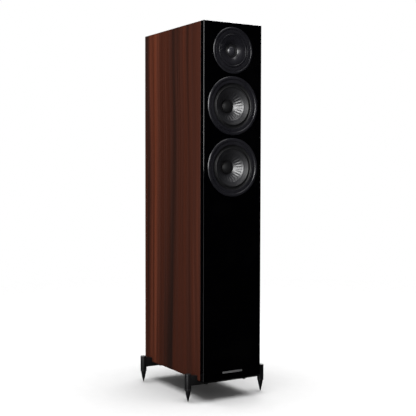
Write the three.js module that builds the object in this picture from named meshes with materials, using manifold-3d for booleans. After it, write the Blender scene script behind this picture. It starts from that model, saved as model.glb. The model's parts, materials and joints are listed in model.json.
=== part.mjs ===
// A slim two-and-a-half-way floorstanding loudspeaker, in millimetres.
// +Z is up, the front baffle faces -Y, and "left" is the left of someone who looks at the front.
// The origin is on the floor, under the centre of the whole object.
import * as THREE from "three";
import { mergeVertices } from "three/addons/utils/BufferGeometryUtils.js";
import Module from "manifold-3d";

const wasm = await Module();
wasm.setup();

// ---- Driving dimensions ----

const joinGap = 0.3; // between two pieces that touch
const roundSides = 30; // facets of a large circle
const smallSides = 16; // facets of a small or a hidden circle

const cabinet = {
  width: 180,
  height: 940,
  depth: 317, // of the wrapped walls, behind the baffle
  wall: 15,
  backThickness: 12,
  braceThickness: 12,
  braceRim: 26, // solid frame left round a brace's window
};

const baffle = {
  thickness: 16,
  edgeRadius: 3,
  topMargin: 11, // above the tweeter
  tweeterGap: 6, // tweeter to upper woofer
  wooferGap: 7, // upper woofer to lower woofer
  rebateClearance: 0.4,
};

const badge = { width: 62, height: 5, thickness: 0.9, aboveBottom: 18.5 };

const woofer = {
  rimRadius: 77.5,
  rimWidth: 17.3,
  beadWidth: 9,
  rimProud: 2.5,
  flangeThickness: 2.2,
  flangeDepth: 2,
  seatWidth: 7, // baffle left under the flange
  surroundRadius: 60,
  surroundWidth: 10,
  surroundDrop: 4.4,
  surroundThickness: 0.8,
  lipWidth: 5.5,
  lipDepth: 1.3,
  coneEdgeDepth: 2.6,
  coneNeckRadius: 13.4,
  coneNeckDepth: 33,
  coneBowRadius: 34.5, // where the cone's flare bends, and how deep
  coneBowDepth: 11,
  coneThickness: 1,
  capRadius: 17.3,
  capHeight: 6.5,
  capThickness: 0.9,
  formerRadius: 13.1,
  formerThickness: 0.5,
  formerLength: 28,
  windingThickness: 0.8,
  windingLength: 12,
  coilGap: 0.7, // between the winding and the plate, and the former and the pole
  spiderRadius: 39.5,
  spiderThickness: 0.8,
  spiderWave: 1.5,
  basketDepth: 46.5,
  basketWall: 2,
  basketFootRadius: 44,
  windowWidth: 34,
  plateThickness: 6,
  plateRadius: 41,
  magnetRadius: 43,
  magnetBore: 21,
  magnetThickness: 17,
  ventRadius: 4,
};

const tweeter = {
  rimRadius: 61,
  rimProud: 1.9,
  beadWidth: 10,
  plateThickness: 3.6,
  faceDepth: -0.4,
  guideRadius: 33.5, // where the waveguide starts to curve in
  throatRadius: 17.5,
  throatDepth: 7.6,
  throatWall: 6.5,
  seatRadius: 40,
  domeRadius: 12.7,
  domeHeight: 6.6,
  domeThickness: 0.5,
  domeDepth: 9,
  surroundWidth: 4,
  surroundRise: 1.4,
  lipWidth: 3.5,
  coilLength: 6,
  coilThickness: 0.6,
  coilGap: 0.5,
  motorRadius: 36,
  topPlateThickness: 4,
  magnetThickness: 10,
  magnetBore: 18,
  backPlateThickness: 4,
};

const foot = {
  overhang: 25.3, // from the cabinet's side to the spike's axis
  frontInset: 35.7, // from the baffle's face to the front spikes
  rearInset: 38.5, // from the cabinet's back to the rear spikes
  barDepth: 14,
  barThickness: 12.6,
  barRise: 8.9, // from the boss's lower end to the bar
  wingHeight: 25.5,
  wingClearance: 0.8,
  bossRadius: 8.75,
  bossHeight: 39.9,
  bossChamfer: 0.8,
};

const spike = {
  coneHeight: 31,
  coneRadius: 7.3,
  shoulderHeight: 2,
  tipRadius: 0.6,
  studRadius: 4,
  studLength: 25,
  studClearance: 0.3,
  boreReserve: 4, // bore left above the stud when the spike is right in
  ringThickness: 3,
};

const port = {
  boreRadius: 29,
  wall: 3,
  length: 150,
  mouthRadius: 41, // at the outer end of the flare
  flareLength: 16,
  flangeRadius: 46,
  flangeThickness: 2.5,
  braceGap: 33.7, // tube to lower brace
};

const terminals = {
  width: 98,
  height: 82,
  cornerRadius: 9,
  flangeThickness: 2.5,
  flangeRim: 9,
  wall: 2.5,
  depth: 28,
  spacing: 38,
  aboveBottom: 130,
  collarRadius: 8,
  collarThickness: 3,
  studRadius: 3,
  studLength: 15,
  threadClearance: 0.3,
  insertRadius: 4.6,
  insertLength: 12,
  knobRadius: 8.5,
  knobLength: 16,
  knobFlutes: 8,
  fluteRadius: 1.6,
  tailLength: 9,
};

const crossover = {
  width: 110,
  length: 150,
  thickness: 4,
  frontInset: 40, // from the back of the baffle
  coilRadius: 26,
  coilBore: 11,
  coilHeight: 22,
  capacitorRadius: 13,
  capacitorLength: 52,
  resistorSide: 10,
  resistorLength: 48,
};

const foam = { thickness: 22, length: 190, floorGap: 60, braceGap: 135.7 };

const loom = { radius: 2.6, sides: 8, offset: 32 };

// ---- Places that follow from the dimensions ----

const overallDepth = woofer.rimProud + baffle.thickness + cabinet.depth;
const baffleFrontY = -overallDepth / 2 + woofer.rimProud;
const baffleBackY = baffleFrontY + baffle.thickness;
const cabinetFrontY = baffleBackY + joinGap;
const cabinetRearY = baffleBackY + cabinet.depth;
const backPanelFrontY = cabinetRearY - cabinet.backThickness;

const bossBottomZ = spike.coneHeight + joinGap + spike.ringThickness + joinGap;
const barBottomZ = bossBottomZ + foot.barRise;
const cabinetBottomZ = barBottomZ + foot.barThickness + joinGap;
const cabinetTopZ = cabinetBottomZ + cabinet.height;
const floorZ = cabinetBottomZ + cabinet.wall; // upper face of the bottom panel

const halfWidth = cabinet.width / 2;
const innerHalfWidth = halfWidth - cabinet.wall;
const spikeX = halfWidth + foot.overhang;
const frontSpikeY = baffleFrontY + foot.frontInset;
const rearSpikeY = cabinetRearY - foot.rearInset;

const tweeterZ = cabinetTopZ - baffle.topMargin - tweeter.rimRadius;
const upperWooferZ = tweeterZ - tweeter.rimRadius - baffle.tweeterGap - woofer.rimRadius;
const lowerWooferZ = upperWooferZ - 2 * woofer.rimRadius - baffle.wooferGap;
const upperBraceZ = (upperWooferZ + lowerWooferZ) / 2;
const lowerBraceZ = lowerWooferZ - woofer.rimRadius - woofer.rimWidth;
const lowerBraceUndersideZ = lowerBraceZ - cabinet.braceThickness / 2;
const portZ = lowerBraceUndersideZ - port.braceGap - port.boreRadius - port.wall;
const terminalsZ = cabinetBottomZ + terminals.aboveBottom;

// ---- Geometry helpers ----

// A closed mesh as a manifold-3d solid, for cutting and joining.
function solidOf(geometry) {
  const bare = geometry.clone();
  bare.deleteAttribute("normal");
  bare.deleteAttribute("uv");
  const merged = mergeVertices(bare, 1e-4);
  return new wasm.Manifold(
    new wasm.Mesh({
      numProp: 3,
      vertProperties: new Float32Array(merged.attributes.position.array),
      triVerts: new Uint32Array(merged.index.array),
    }),
  );
}

function geometryOf(solid) {
  const mesh = solid.getMesh();
  const geometry = new THREE.BufferGeometry();
  geometry.setAttribute("position", new THREE.BufferAttribute(mesh.vertProperties, 3));
  geometry.setIndex(new THREE.BufferAttribute(mesh.triVerts, 1));
  return geometry;
}

function cut(body, ...tools) {
  const rest = tools.reduce((left, tool) => left.subtract(solidOf(tool)), solidOf(body));
  return geometryOf(rest);
}

function join(...bodies) {
  const whole = bodies.slice(1).reduce((sum, body) => sum.add(solidOf(body)), solidOf(bodies[0]));
  return geometryOf(whole);
}

function box(x0, x1, y0, y1, z0, z1) {
  const geometry = new THREE.BoxGeometry(x1 - x0, y1 - y0, z1 - z0);
  return geometry.translate((x0 + x1) / 2, (y0 + y1) / 2, (z0 + z1) / 2);
}

// A solid of revolution about the Y axis. Each point is [radius, depth along Y].
function turned(points, sides = smallSides) {
  const outline = points.map(([radius, depth]) => new THREE.Vector2(radius, depth));
  if (THREE.ShapeUtils.area(outline) < 0) outline.reverse();
  const meetsAxis = outline.some((point) => point.x === 0);
  if (!meetsAxis) outline.push(outline[0].clone());
  while (meetsAxis && (outline[0].x !== 0 || outline.at(-1).x !== 0)) outline.push(outline.shift());
  return new THREE.LatheGeometry(outline, sides);
}

// The same about the Z axis, with each point as [radius, height].
function turnedUpright(points, sides = smallSides) {
  return turned(points, sides).rotateX(Math.PI / 2);
}

function disc(radius, y0, y1, sides = roundSides) {
  return turned([[0, y0], [radius, y0], [radius, y1], [0, y1]], sides);
}

// A flat outline in X and Z, drawn out along Y from y0 to y1.
function drawnAlongY(outline, y0, y1, curveSegments = 2) {
  const geometry = new THREE.ExtrudeGeometry(outline, {
    depth: y1 - y0,
    bevelEnabled: false,
    curveSegments,
  });
  return geometry.rotateX(Math.PI / 2).translate(0, y1, 0);
}

function polygon(points) {
  return new THREE.Shape(points.map(([x, y]) => new THREE.Vector2(x, y)));
}

function roundedRectangle(width, height, radius) {
  const x = width / 2 - radius;
  const y = height / 2 - radius;
  const shape = new THREE.Shape();
  shape.absarc(x, y, radius, 0, Math.PI / 2);
  shape.absarc(-x, y, radius, Math.PI / 2, Math.PI);
  shape.absarc(-x, -y, radius, Math.PI, 1.5 * Math.PI);
  shape.absarc(x, -y, radius, 1.5 * Math.PI, 2 * Math.PI);
  return shape;
}

// The centre line of a thin sheet, thickened by the same amount on its rear side.
function thickened(line, thickness) {
  const rear = line.map(([radius, depth]) => [radius, depth + thickness]);
  return [...line, ...rear.reverse()];
}

// ---- The assembly and its finishes ----

const speaker = new THREE.Group();

function finish(color, roughness, metalness = 0) {
  return new THREE.MeshStandardMaterial({ color, roughness, metalness, flatShading: true });
}

function add(name, geometry, material, parent = speaker) {
  const mesh = new THREE.Mesh(geometry, material);
  mesh.name = name;
  parent.add(mesh);
  return mesh;
}

const finishes = {
  woodWrap: () => finish(0x4a241a, 0.45),
  glossBlack: () => finish(0x050506, 0.06),
  blackBoard: () => finish(0x161616, 0.7),
  rawBoard: () => finish(0x8a6a48, 0.9),
  satinBlack: () => finish(0x1b1b1d, 0.35, 0.6),
  driverGrey: () => finish(0x3c3d44, 0.4),
  rubber: () => finish(0x202126, 0.55),
  cone: () => finish(0x45464d, 0.3),
  softDome: () => finish(0x16161a, 0.35),
  castFrame: () => finish(0x26272a, 0.5, 0.7),
  steel: () => finish(0x8e9196, 0.3, 1),
  ferrite: () => finish(0x2e2e30, 0.75),
  coil: () => finish(0xa65a2a, 0.35, 0.8),
  spiderCloth: () => finish(0xb08a3c, 0.9),
  brass: () => finish(0xc9a24a, 0.25, 1),
  redPlastic: () => finish(0xa01c1c, 0.25),
  blackPlastic: () => finish(0x121214, 0.4),
  foam: () => finish(0x3a3b3e, 1),
  circuitBoard: () => finish(0x9c7a4a, 0.8),
  badgeMetal: () => finish(0xb4b6ba, 0.3, 0.9),
  wire: () => finish(0x2a1210, 0.5),
};

// ---- Cabinet ----

// Wall boards meet at mitres. outward is the unit direction of the wall's outer face in X and Z.
function mitredBoard(halfLength, thickness) {
  const mitreGap = joinGap / Math.SQRT2;
  const outer = halfLength - mitreGap;
  const inner = halfLength - thickness - mitreGap;
  return polygon([[-outer, 0], [outer, 0], [inner, -thickness], [-inner, -thickness]]);
}

function addCabinetWalls() {
  const wrapMidZ = (cabinetBottomZ + cabinetTopZ) / 2;
  const boards = [
    ["top_panel", halfWidth, cabinet.height / 2, 0],
    ["bottom_panel", halfWidth, cabinet.height / 2, Math.PI],
    ["side_panel_left", cabinet.height / 2, halfWidth, -Math.PI / 2],
    ["side_panel_right", cabinet.height / 2, halfWidth, Math.PI / 2],
  ];
  for (const [name, halfLength, outerDistance, turn] of boards) {
    const board = drawnAlongY(mitredBoard(halfLength, cabinet.wall), cabinetFrontY, cabinetRearY);
    board.translate(0, 0, outerDistance).rotateY(turn).translate(0, 0, wrapMidZ);
    add(name, board, finishes.woodWrap());
  }
}

// A board between the four walls, from y0 to y1.
function innerBoard(y0, y1) {
  const x = innerHalfWidth - joinGap;
  const z1 = cabinetTopZ - cabinet.wall - joinGap;
  return box(-x, x, y0, y1, floorZ + joinGap, z1);
}

function addBackPanel() {
  const panel = innerBoard(backPanelFrontY, cabinetRearY);
  const portHole = disc(port.boreRadius + port.wall + joinGap, -overallDepth, overallDepth);
  const portRebate = disc(port.flangeRadius + joinGap, cabinetRearY - port.flangeThickness, overallDepth);
  const cupHole = drawnAlongY(cupOutline(-terminals.flangeRim + joinGap), -overallDepth, overallDepth);
  const cupRebate = drawnAlongY(
    cupOutline(joinGap),
    cabinetRearY - terminals.flangeThickness,
    overallDepth,
  );
  portHole.translate(0, 0, portZ);
  portRebate.translate(0, 0, portZ);
  cupHole.translate(0, 0, terminalsZ);
  cupRebate.translate(0, 0, terminalsZ);
  add("back_panel", cut(panel, portHole, portRebate, cupHole, cupRebate), finishes.blackBoard());
}

function addBraces() {
  const x = innerHalfWidth - joinGap;
  const y0 = cabinetFrontY;
  const y1 = backPanelFrontY - joinGap;
  const half = cabinet.braceThickness / 2;
  const rim = cabinet.braceRim;
  const places = [
    ["brace_upper", upperBraceZ],
    ["brace_lower", lowerBraceZ],
  ];
  for (const [name, z] of places) {
    const board = box(-x, x, y0, y1, z - half, z + half);
    const opening = box(-x + rim, x - rim, y0 + rim, y1 - rim, z - 2 * half, z + 2 * half);
    add(name, cut(board, opening), finishes.rawBoard());
  }
}

function addBaffle() {
  const r = baffle.edgeRadius;
  const plan = new THREE.Shape();
  plan.moveTo(halfWidth, baffleBackY);
  plan.lineTo(-halfWidth, baffleBackY);
  plan.absarc(-halfWidth + r, baffleFrontY + r, r, Math.PI, 1.5 * Math.PI);
  plan.absarc(halfWidth - r, baffleFrontY + r, r, 1.5 * Math.PI, 2 * Math.PI);
  const board = new THREE.ExtrudeGeometry(plan, {
    depth: cabinet.height,
    bevelEnabled: false,
    curveSegments: 2,
  });
  board.translate(0, 0, cabinetBottomZ);
  const clearance = baffle.rebateClearance;
  const wooferRebate = woofer.flangeDepth + woofer.flangeThickness + joinGap;
  const tweeterRebate = tweeter.plateThickness + joinGap;
  const openings = [
    [tweeterZ, tweeter.rimRadius + clearance, tweeterRebate, tweeter.seatRadius],
    [upperWooferZ, woofer.rimRadius + clearance, wooferRebate, woofer.rimRadius - woofer.seatWidth],
    [lowerWooferZ, woofer.rimRadius + clearance, wooferRebate, woofer.rimRadius - woofer.seatWidth],
  ];
  const tools = openings.flatMap(([z, rebateRadius, rebateDepth, holeRadius]) => [
    disc(rebateRadius, -overallDepth, baffleFrontY + rebateDepth).translate(0, 0, z),
    disc(holeRadius, -overallDepth, overallDepth).translate(0, 0, z),
  ]);
  add("front_baffle", cut(board, ...tools), finishes.glossBlack());
}

function addBadge() {
  const z = cabinetBottomZ + badge.aboveBottom;
  const outline = roundedRectangle(badge.width, badge.height, badge.height / 2 - joinGap);
  const y1 = baffleFrontY - joinGap;
  const plate = drawnAlongY(outline, y1 - badge.thickness, y1, 3);
  add("badge_bar", plate.translate(0, 0, z), finishes.badgeMetal());
}

// ---- Woofers ----
// Depths are measured back from the baffle's face, in the woofer's own group.

function coneFront(steps = 4) {
  const edge = woofer.surroundRadius - woofer.surroundWidth - joinGap;
  const flare = new THREE.QuadraticBezierCurve(
    new THREE.Vector2(edge, woofer.coneEdgeDepth),
    new THREE.Vector2(woofer.coneBowRadius, woofer.coneBowDepth),
    new THREE.Vector2(woofer.coneNeckRadius, woofer.coneNeckDepth),
  );
  return flare.getPoints(steps).map((point) => [point.x, point.y]);
}

// How deep the cone's front lies at a radius.
function coneDepthAt(radius) {
  const line = coneFront(60);
  const next = line.findIndex(([r]) => r <= radius);
  const [r0, d0] = line[next - 1];
  const [r1, d1] = line[next];
  return d0 + ((r0 - radius) / (r0 - r1)) * (d1 - d0);
}

function trimRingProfile() {
  const inner = woofer.rimRadius - woofer.rimWidth;
  const outer = woofer.rimRadius;
  const beadFoot = outer - woofer.beadWidth;
  const beadTop = outer - woofer.beadWidth / 2;
  const face = -joinGap;
  const lipTop = woofer.lipDepth - woofer.surroundThickness / 2 - joinGap;
  const lipEdge = woofer.surroundRadius + woofer.lipWidth + joinGap;
  const rear = woofer.flangeDepth - joinGap;
  return [
    [inner, face],
    [beadFoot, face],
    [beadFoot + woofer.beadWidth / 6, -0.66 * woofer.rimProud],
    [beadTop, -woofer.rimProud],
    [outer - woofer.beadWidth / 6, -0.66 * woofer.rimProud],
    [outer, 0],
    [outer, rear],
    [lipEdge, rear],
    [lipEdge, lipTop],
    [inner, lipTop],
  ];
}

function basketProfile() {
  const top = woofer.flangeDepth;
  const under = top + woofer.flangeThickness;
  const outer = woofer.rimRadius - joinGap;
  const inner = woofer.surroundRadius + 1;
  const foot = woofer.basketFootRadius;
  const wall = woofer.basketWall;
  const neck = inner + wall;
  const bottom = top + woofer.basketDepth;
  const waist = (neck + foot) / 2 + 3;
  const waistDepth = (under + bottom) / 2;
  return [
    [outer, top],
    [outer, under],
    [neck + wall, under],
    [waist + wall, waistDepth],
    [foot, bottom],
    [woofer.magnetBore, bottom],
    [woofer.magnetBore, bottom - wall],
    [foot - wall, bottom - wall],
    [waist, waistDepth],
    [inner, under],
    [inner, top],
  ];
}

// The basket's wall is opened by three long cutters, which leave six legs.
function basket() {
  const reach = 2 * woofer.rimRadius;
  const half = woofer.windowWidth / 2;
  const y0 = woofer.flangeDepth + woofer.flangeThickness + 3 * woofer.basketWall;
  const y1 = woofer.flangeDepth + woofer.basketDepth - 3 * woofer.basketWall;
  const cutters = [0, 1, 2].map((index) => {
    const cutter = box(-reach, reach, y0, y1, -half, half);
    return cutter.rotateY((index * Math.PI) / 3);
  });
  return cut(turned(basketProfile(), roundSides), ...cutters);
}

// The roll is inverted: it hangs into the driver between the two edges that it joins.
function surroundLine() {
  const outer = woofer.surroundRadius;
  const inner = outer - woofer.surroundWidth;
  const front = woofer.lipDepth - woofer.surroundThickness / 2;
  const innerFront = woofer.coneEdgeDepth - woofer.surroundThickness / 2;
  const steps = 4;
  const roll = Array.from({ length: steps + 1 }, (_, index) => {
    const angle = (index / steps) * Math.PI;
    const along = (1 - Math.cos(angle)) / 2;
    const level = front + along * (innerFront - front);
    return [outer - along * (outer - inner), level + Math.sin(angle) * woofer.surroundDrop];
  });
  return [[outer + woofer.lipWidth, front], ...roll];
}

function spiderLine() {
  const inner = woofer.formerRadius + joinGap;
  const outer = woofer.spiderRadius;
  const floor = woofer.flangeDepth + woofer.basketDepth - woofer.basketWall;
  const rear = floor - joinGap - woofer.spiderThickness;
  const level = rear - 2 * woofer.spiderWave;
  const waves = 4;
  const wavy = Array.from({ length: waves + 1 }, (_, index) => {
    const side = index % 2 ? 1 : -1;
    const radius = inner + (index / waves) * 0.8 * (outer - inner);
    return [radius, level + (index ? side * woofer.spiderWave * 0.6 : 0)];
  });
  return [...wavy, [outer - 0.12 * (outer - inner), rear], [outer, rear]];
}

function addWoofer(prefix, z) {
  const group = new THREE.Group();
  group.position.set(0, baffleFrontY, z);
  speaker.add(group);
  const place = (piece, geometry, material) => add(prefix + piece, geometry, material, group);

  place("trim_ring", turned(trimRingProfile(), roundSides), finishes.driverGrey());
  place("basket", basket(), finishes.castFrame());
  const surround = thickened(surroundLine(), woofer.surroundThickness);
  place("surround", turned(surround, roundSides), finishes.rubber());

  const cone = thickened(coneFront(), woofer.coneThickness);
  place("cone", turned(cone, roundSides), finishes.cone());

  const capEdgeDepth = coneDepthAt(woofer.capRadius) - woofer.capThickness - 2 * joinGap;
  const capSteps = 3;
  const capFront = Array.from({ length: capSteps + 1 }, (_, index) => {
    const share = index / capSteps;
    return [woofer.capRadius * share, capEdgeDepth - woofer.capHeight * (1 - share * share)];
  });
  place("dust_cap", turned(thickened(capFront, woofer.capThickness)), finishes.rubber());

  const bottom = woofer.flangeDepth + woofer.basketDepth;
  const plateFront = bottom + joinGap;
  const plateRear = plateFront + woofer.plateThickness;
  const windingMid = (plateFront + plateRear) / 2;
  const windingFront = windingMid - woofer.windingLength / 2;
  const windingRear = windingMid + woofer.windingLength / 2;
  const formerInner = woofer.formerRadius - woofer.formerThickness;
  const windingRadius = woofer.formerRadius + woofer.windingThickness;
  const coil = [
    [formerInner, windingRear - woofer.formerLength],
    [woofer.formerRadius, windingRear - woofer.formerLength],
    [woofer.formerRadius, windingFront],
    [windingRadius, windingFront],
    [windingRadius, windingRear],
    [formerInner, windingRear],
  ];
  place("voice_coil", turned(coil), finishes.coil());
  place("spider", turned(thickened(spiderLine(), woofer.spiderThickness)), finishes.spiderCloth());

  const plateBore = windingRadius + woofer.coilGap;
  const ring = (inner, outer, y0, y1) => turned([[inner, y0], [outer, y0], [outer, y1], [inner, y1]]);
  place("top_plate", ring(plateBore, woofer.plateRadius, plateFront, plateRear), finishes.steel());
  const magnetFront = plateRear + joinGap;
  const magnetRear = magnetFront + woofer.magnetThickness;
  const magnet = ring(woofer.magnetBore, woofer.magnetRadius, magnetFront, magnetRear);
  place("magnet", magnet, finishes.ferrite());

  const poleRadius = formerInner - woofer.coilGap;
  const backFront = magnetRear + joinGap;
  const backRear = backFront + woofer.plateThickness;
  const yoke = [
    [woofer.ventRadius, plateFront],
    [poleRadius, plateFront],
    [poleRadius, backFront],
    [woofer.plateRadius, backFront],
    [woofer.plateRadius, backRear],
    [woofer.ventRadius, backRear],
  ];
  place("back_plate", turned(yoke), finishes.steel());
}

const wooferDepth =
  woofer.flangeDepth +
  woofer.basketDepth +
  2 * woofer.plateThickness +
  woofer.magnetThickness +
  3 * joinGap;

// ---- Tweeter ----

const tweeterTopPlateDepth = tweeter.domeDepth + 5 * joinGap;
const tweeterDepth =
  tweeterTopPlateDepth +
  tweeter.topPlateThickness +
  tweeter.magnetThickness +
  tweeter.backPlateThickness +
  2 * joinGap;

function faceplateProfile() {
  const face = tweeter.faceDepth;
  const rim = tweeter.rimRadius;
  const bead = tweeter.beadWidth;
  const guideStart = tweeter.guideRadius;
  const guideSteps = 3;
  const guide = Array.from({ length: guideSteps + 1 }, (_, index) => {
    const share = index / guideSteps;
    const radius = guideStart - share * (guideStart - tweeter.throatRadius);
    return [radius, face + share ** 1.6 * (tweeter.throatDepth - face)];
  });
  const throatRear = tweeter.domeDepth + joinGap;
  const throatOuter = tweeter.throatRadius + tweeter.throatWall;
  return [
    [rim, tweeter.plateThickness],
    [rim, 0],
    [rim - bead / 4, -0.8 * tweeter.rimProud],
    [rim - bead / 2, -tweeter.rimProud],
    [rim - (3 * bead) / 4, -0.8 * tweeter.rimProud],
    [rim - bead, face],
    ...guide,
    [tweeter.throatRadius, throatRear],
    [throatOuter, throatRear],
    [throatOuter + tweeter.plateThickness, tweeter.plateThickness],
  ];
}

function addTweeter() {
  const group = new THREE.Group();
  group.position.set(0, baffleFrontY, tweeterZ);
  speaker.add(group);
  const place = (piece, geometry, material) => add("tweeter_" + piece, geometry, material, group);

  place("faceplate", turned(faceplateProfile(), roundSides), finishes.driverGrey());

  const domeSteps = 3;
  const dome = Array.from({ length: domeSteps + 1 }, (_, index) => {
    const share = index / domeSteps;
    const rise = tweeter.domeHeight * (1 - share * share);
    return [tweeter.domeRadius * share, tweeter.domeDepth - tweeter.domeThickness - rise];
  });
  place("dome", turned(thickened(dome, tweeter.domeThickness)), finishes.softDome());

  const rollInner = tweeter.domeRadius + joinGap;
  const rollSteps = 4;
  const lipDepth = tweeter.domeDepth + 2 * joinGap;
  const roll = Array.from({ length: rollSteps + 1 }, (_, index) => {
    const share = index / rollSteps;
    const rise = Math.sin(share * Math.PI) * tweeter.surroundRise;
    const radius = rollInner + share * tweeter.surroundWidth;
    return [radius, lipDepth - rise];
  });
  const lip = [rollInner + tweeter.surroundWidth + tweeter.lipWidth, lipDepth];
  place("surround", turned(thickened([...roll, lip], tweeter.domeThickness)), finishes.rubber());

  const coilOuter = tweeter.domeRadius;
  const coilInner = coilOuter - tweeter.coilThickness;
  const ring = (inner, outer, y0, y1) => turned([[inner, y0], [outer, y0], [outer, y1], [inner, y1]]);
  const coilFront = tweeter.domeDepth + joinGap;
  const coil = ring(coilInner, coilOuter, coilFront, coilFront + tweeter.coilLength);
  place("voice_coil", coil, finishes.coil());

  const plateRear = tweeterTopPlateDepth + tweeter.topPlateThickness;
  const plateBore = coilOuter + tweeter.coilGap;
  const topPlate = ring(plateBore, tweeter.motorRadius, tweeterTopPlateDepth, plateRear);
  place("top_plate", topPlate, finishes.steel());
  const magnetFront = plateRear + joinGap;
  const magnetRear = magnetFront + tweeter.magnetThickness;
  const magnet = ring(tweeter.magnetBore, tweeter.motorRadius, magnetFront, magnetRear);
  place("magnet", magnet, finishes.ferrite());

  const backFront = magnetRear + joinGap;
  const backRear = backFront + tweeter.backPlateThickness;
  const yoke = [
    [0, tweeterTopPlateDepth],
    [coilInner - tweeter.coilGap, tweeterTopPlateDepth],
    [coilInner - tweeter.coilGap, backFront],
    [tweeter.motorRadius, backFront],
    [tweeter.motorRadius, backRear],
    [0, backRear],
  ];
  place("back_plate", turned(yoke), finishes.steel());
}

// ---- Rear: reflex port and terminals ----

function addReflexPort() {
  const outer = port.boreRadius + port.wall;
  const rear = cabinetRearY;
  const flareFront = rear - port.flareLength;
  const inner = rear - port.length;
  const flareSteps = 4;
  const flare = Array.from({ length: flareSteps + 1 }, (_, index) => {
    const angle = (index / flareSteps) * (Math.PI / 2);
    const radius = port.boreRadius + (port.mouthRadius - port.boreRadius) * (1 - Math.cos(angle));
    return [radius, flareFront + port.flareLength * Math.sin(angle)];
  });
  const profile = [
    [port.boreRadius, inner],
    ...flare,
    [port.flangeRadius, rear],
    [port.flangeRadius, rear - port.flangeThickness + joinGap],
    [outer, rear - port.flangeThickness + joinGap],
    [outer, inner],
  ];
  add("reflex_port", turned(profile, roundSides).translate(0, 0, portZ), finishes.blackPlastic());
}

// The cup's outline grown by a margin, for the flange, the body and their holes alike.
function cupOutline(margin) {
  const radius = Math.max(terminals.cornerRadius + margin, 1);
  return roundedRectangle(terminals.width + 2 * margin, terminals.height + 2 * margin, radius);
}

const cupFloorRearY = cabinetRearY - terminals.depth + terminals.wall;

function addTerminals() {
  const flangeFront = cabinetRearY - terminals.flangeThickness + joinGap;
  const bodyFront = cabinetRearY - terminals.depth;
  const flange = drawnAlongY(cupOutline(0), flangeFront, cabinetRearY);
  const body = drawnAlongY(cupOutline(-terminals.flangeRim), bodyFront, cabinetRearY);
  const inside = -terminals.flangeRim - terminals.wall;
  const hollow = drawnAlongY(cupOutline(inside), cupFloorRearY, cabinetRearY + terminals.depth);
  const studHoles = [-1, 1].map((side) =>
    disc(terminals.studRadius + joinGap, -overallDepth, overallDepth, smallSides).translate(
      (side * terminals.spacing) / 2,
      0,
      0,
    ),
  );
  const cup = cut(join(flange, body), hollow, ...studHoles).translate(0, 0, terminalsZ);
  add("terminal_cup", cup, finishes.blackPlastic());

  for (const [colour, side, material] of [
    ["red", 1, finishes.redPlastic],
    ["black", -1, finishes.blackPlastic],
  ]) {
    const group = new THREE.Group();
    group.position.set((side * terminals.spacing) / 2, cupFloorRearY, terminalsZ);
    speaker.add(group);
    addBindingPost(colour, material, group);
  }
}

// Y is measured outwards from the cup's floor.
function addBindingPost(colour, plastic, group) {
  const collarRear = joinGap + terminals.collarThickness;
  const tailFront = -terminals.wall - terminals.tailLength;
  const post = [
    [0, tailFront],
    [terminals.studRadius, tailFront],
    [terminals.studRadius, joinGap],
    [terminals.collarRadius, joinGap],
    [terminals.collarRadius, collarRear],
    [terminals.studRadius, collarRear],
    [terminals.studRadius, collarRear + terminals.studLength],
    [0, collarRear + terminals.studLength],
  ];
  add("binding_post_" + colour, turned(post), finishes.brass(), group);

  const insertFront = collarRear + joinGap;
  const insertRear = insertFront + terminals.insertLength;
  const thread = terminals.studRadius + terminals.threadClearance;
  const insert = [
    [thread, insertFront],
    [terminals.insertRadius, insertFront],
    [terminals.insertRadius, insertRear],
    [thread, insertRear],
  ];
  add("knob_insert_" + colour, turned(insert), finishes.brass(), group);

  const seat = terminals.insertRadius + joinGap;
  const seatRear = insertRear + joinGap;
  const roomRear = collarRear + terminals.studLength + joinGap;
  const knobRear = insertFront + terminals.knobLength + terminals.studLength - terminals.insertLength;
  const knob = [
    [seat, insertFront],
    [terminals.knobRadius, insertFront],
    [terminals.knobRadius, knobRear - 1],
    [terminals.knobRadius - 1, knobRear],
    [0, knobRear],
    [0, roomRear],
    [thread, roomRear],
    [thread, seatRear],
    [seat, seatRear],
  ];
  const flutes = Array.from({ length: terminals.knobFlutes }, (_, index) => {
    const angle = (index / terminals.knobFlutes) * 2 * Math.PI;
    const flute = disc(terminals.fluteRadius, -terminals.depth, 2 * terminals.depth, 10);
    return flute.translate(terminals.knobRadius + 0.3, 0, 0).rotateY(angle);
  });
  add("knob_" + colour, cut(turned(knob), ...flutes), plastic(), group);
}

// ---- Inside: crossover, foam and wiring ----

const boardFrontY = cabinetFrontY + crossover.frontInset;
const boardTopZ = floorZ + joinGap + crossover.thickness;

function addCrossover() {
  const x = crossover.width / 2;
  const boardRearY = boardFrontY + crossover.length;
  const board = box(-x, x, boardFrontY, boardRearY, floorZ + joinGap, boardTopZ);
  add("crossover_board", board, finishes.circuitBoard());

  const restZ = boardTopZ + joinGap;
  const coilX = -x + crossover.coilRadius;
  const coilY = boardFrontY + crossover.coilRadius;
  const inductor = turnedUpright([
    [crossover.coilBore, 0],
    [crossover.coilRadius, 0],
    [crossover.coilRadius, crossover.coilHeight],
    [crossover.coilBore, crossover.coilHeight],
  ]);
  add("inductor", inductor.translate(coilX, coilY, restZ), finishes.coil());

  const capacitor = disc(crossover.capacitorRadius, 0, crossover.capacitorLength, smallSides);
  const capacitorX = x - crossover.capacitorRadius;
  capacitor.translate(capacitorX, boardFrontY, restZ + crossover.capacitorRadius);
  add("capacitor", capacitor, finishes.redPlastic());

  const half = crossover.resistorSide / 2;
  const resistorX = x - 2 * crossover.resistorSide;
  const resistorY = boardRearY - crossover.resistorLength;
  const resistor = box(-half, half, 0, crossover.resistorLength, 0, crossover.resistorSide);
  add("resistor", resistor.translate(resistorX, resistorY, restZ), finishes.foam());
}

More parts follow.
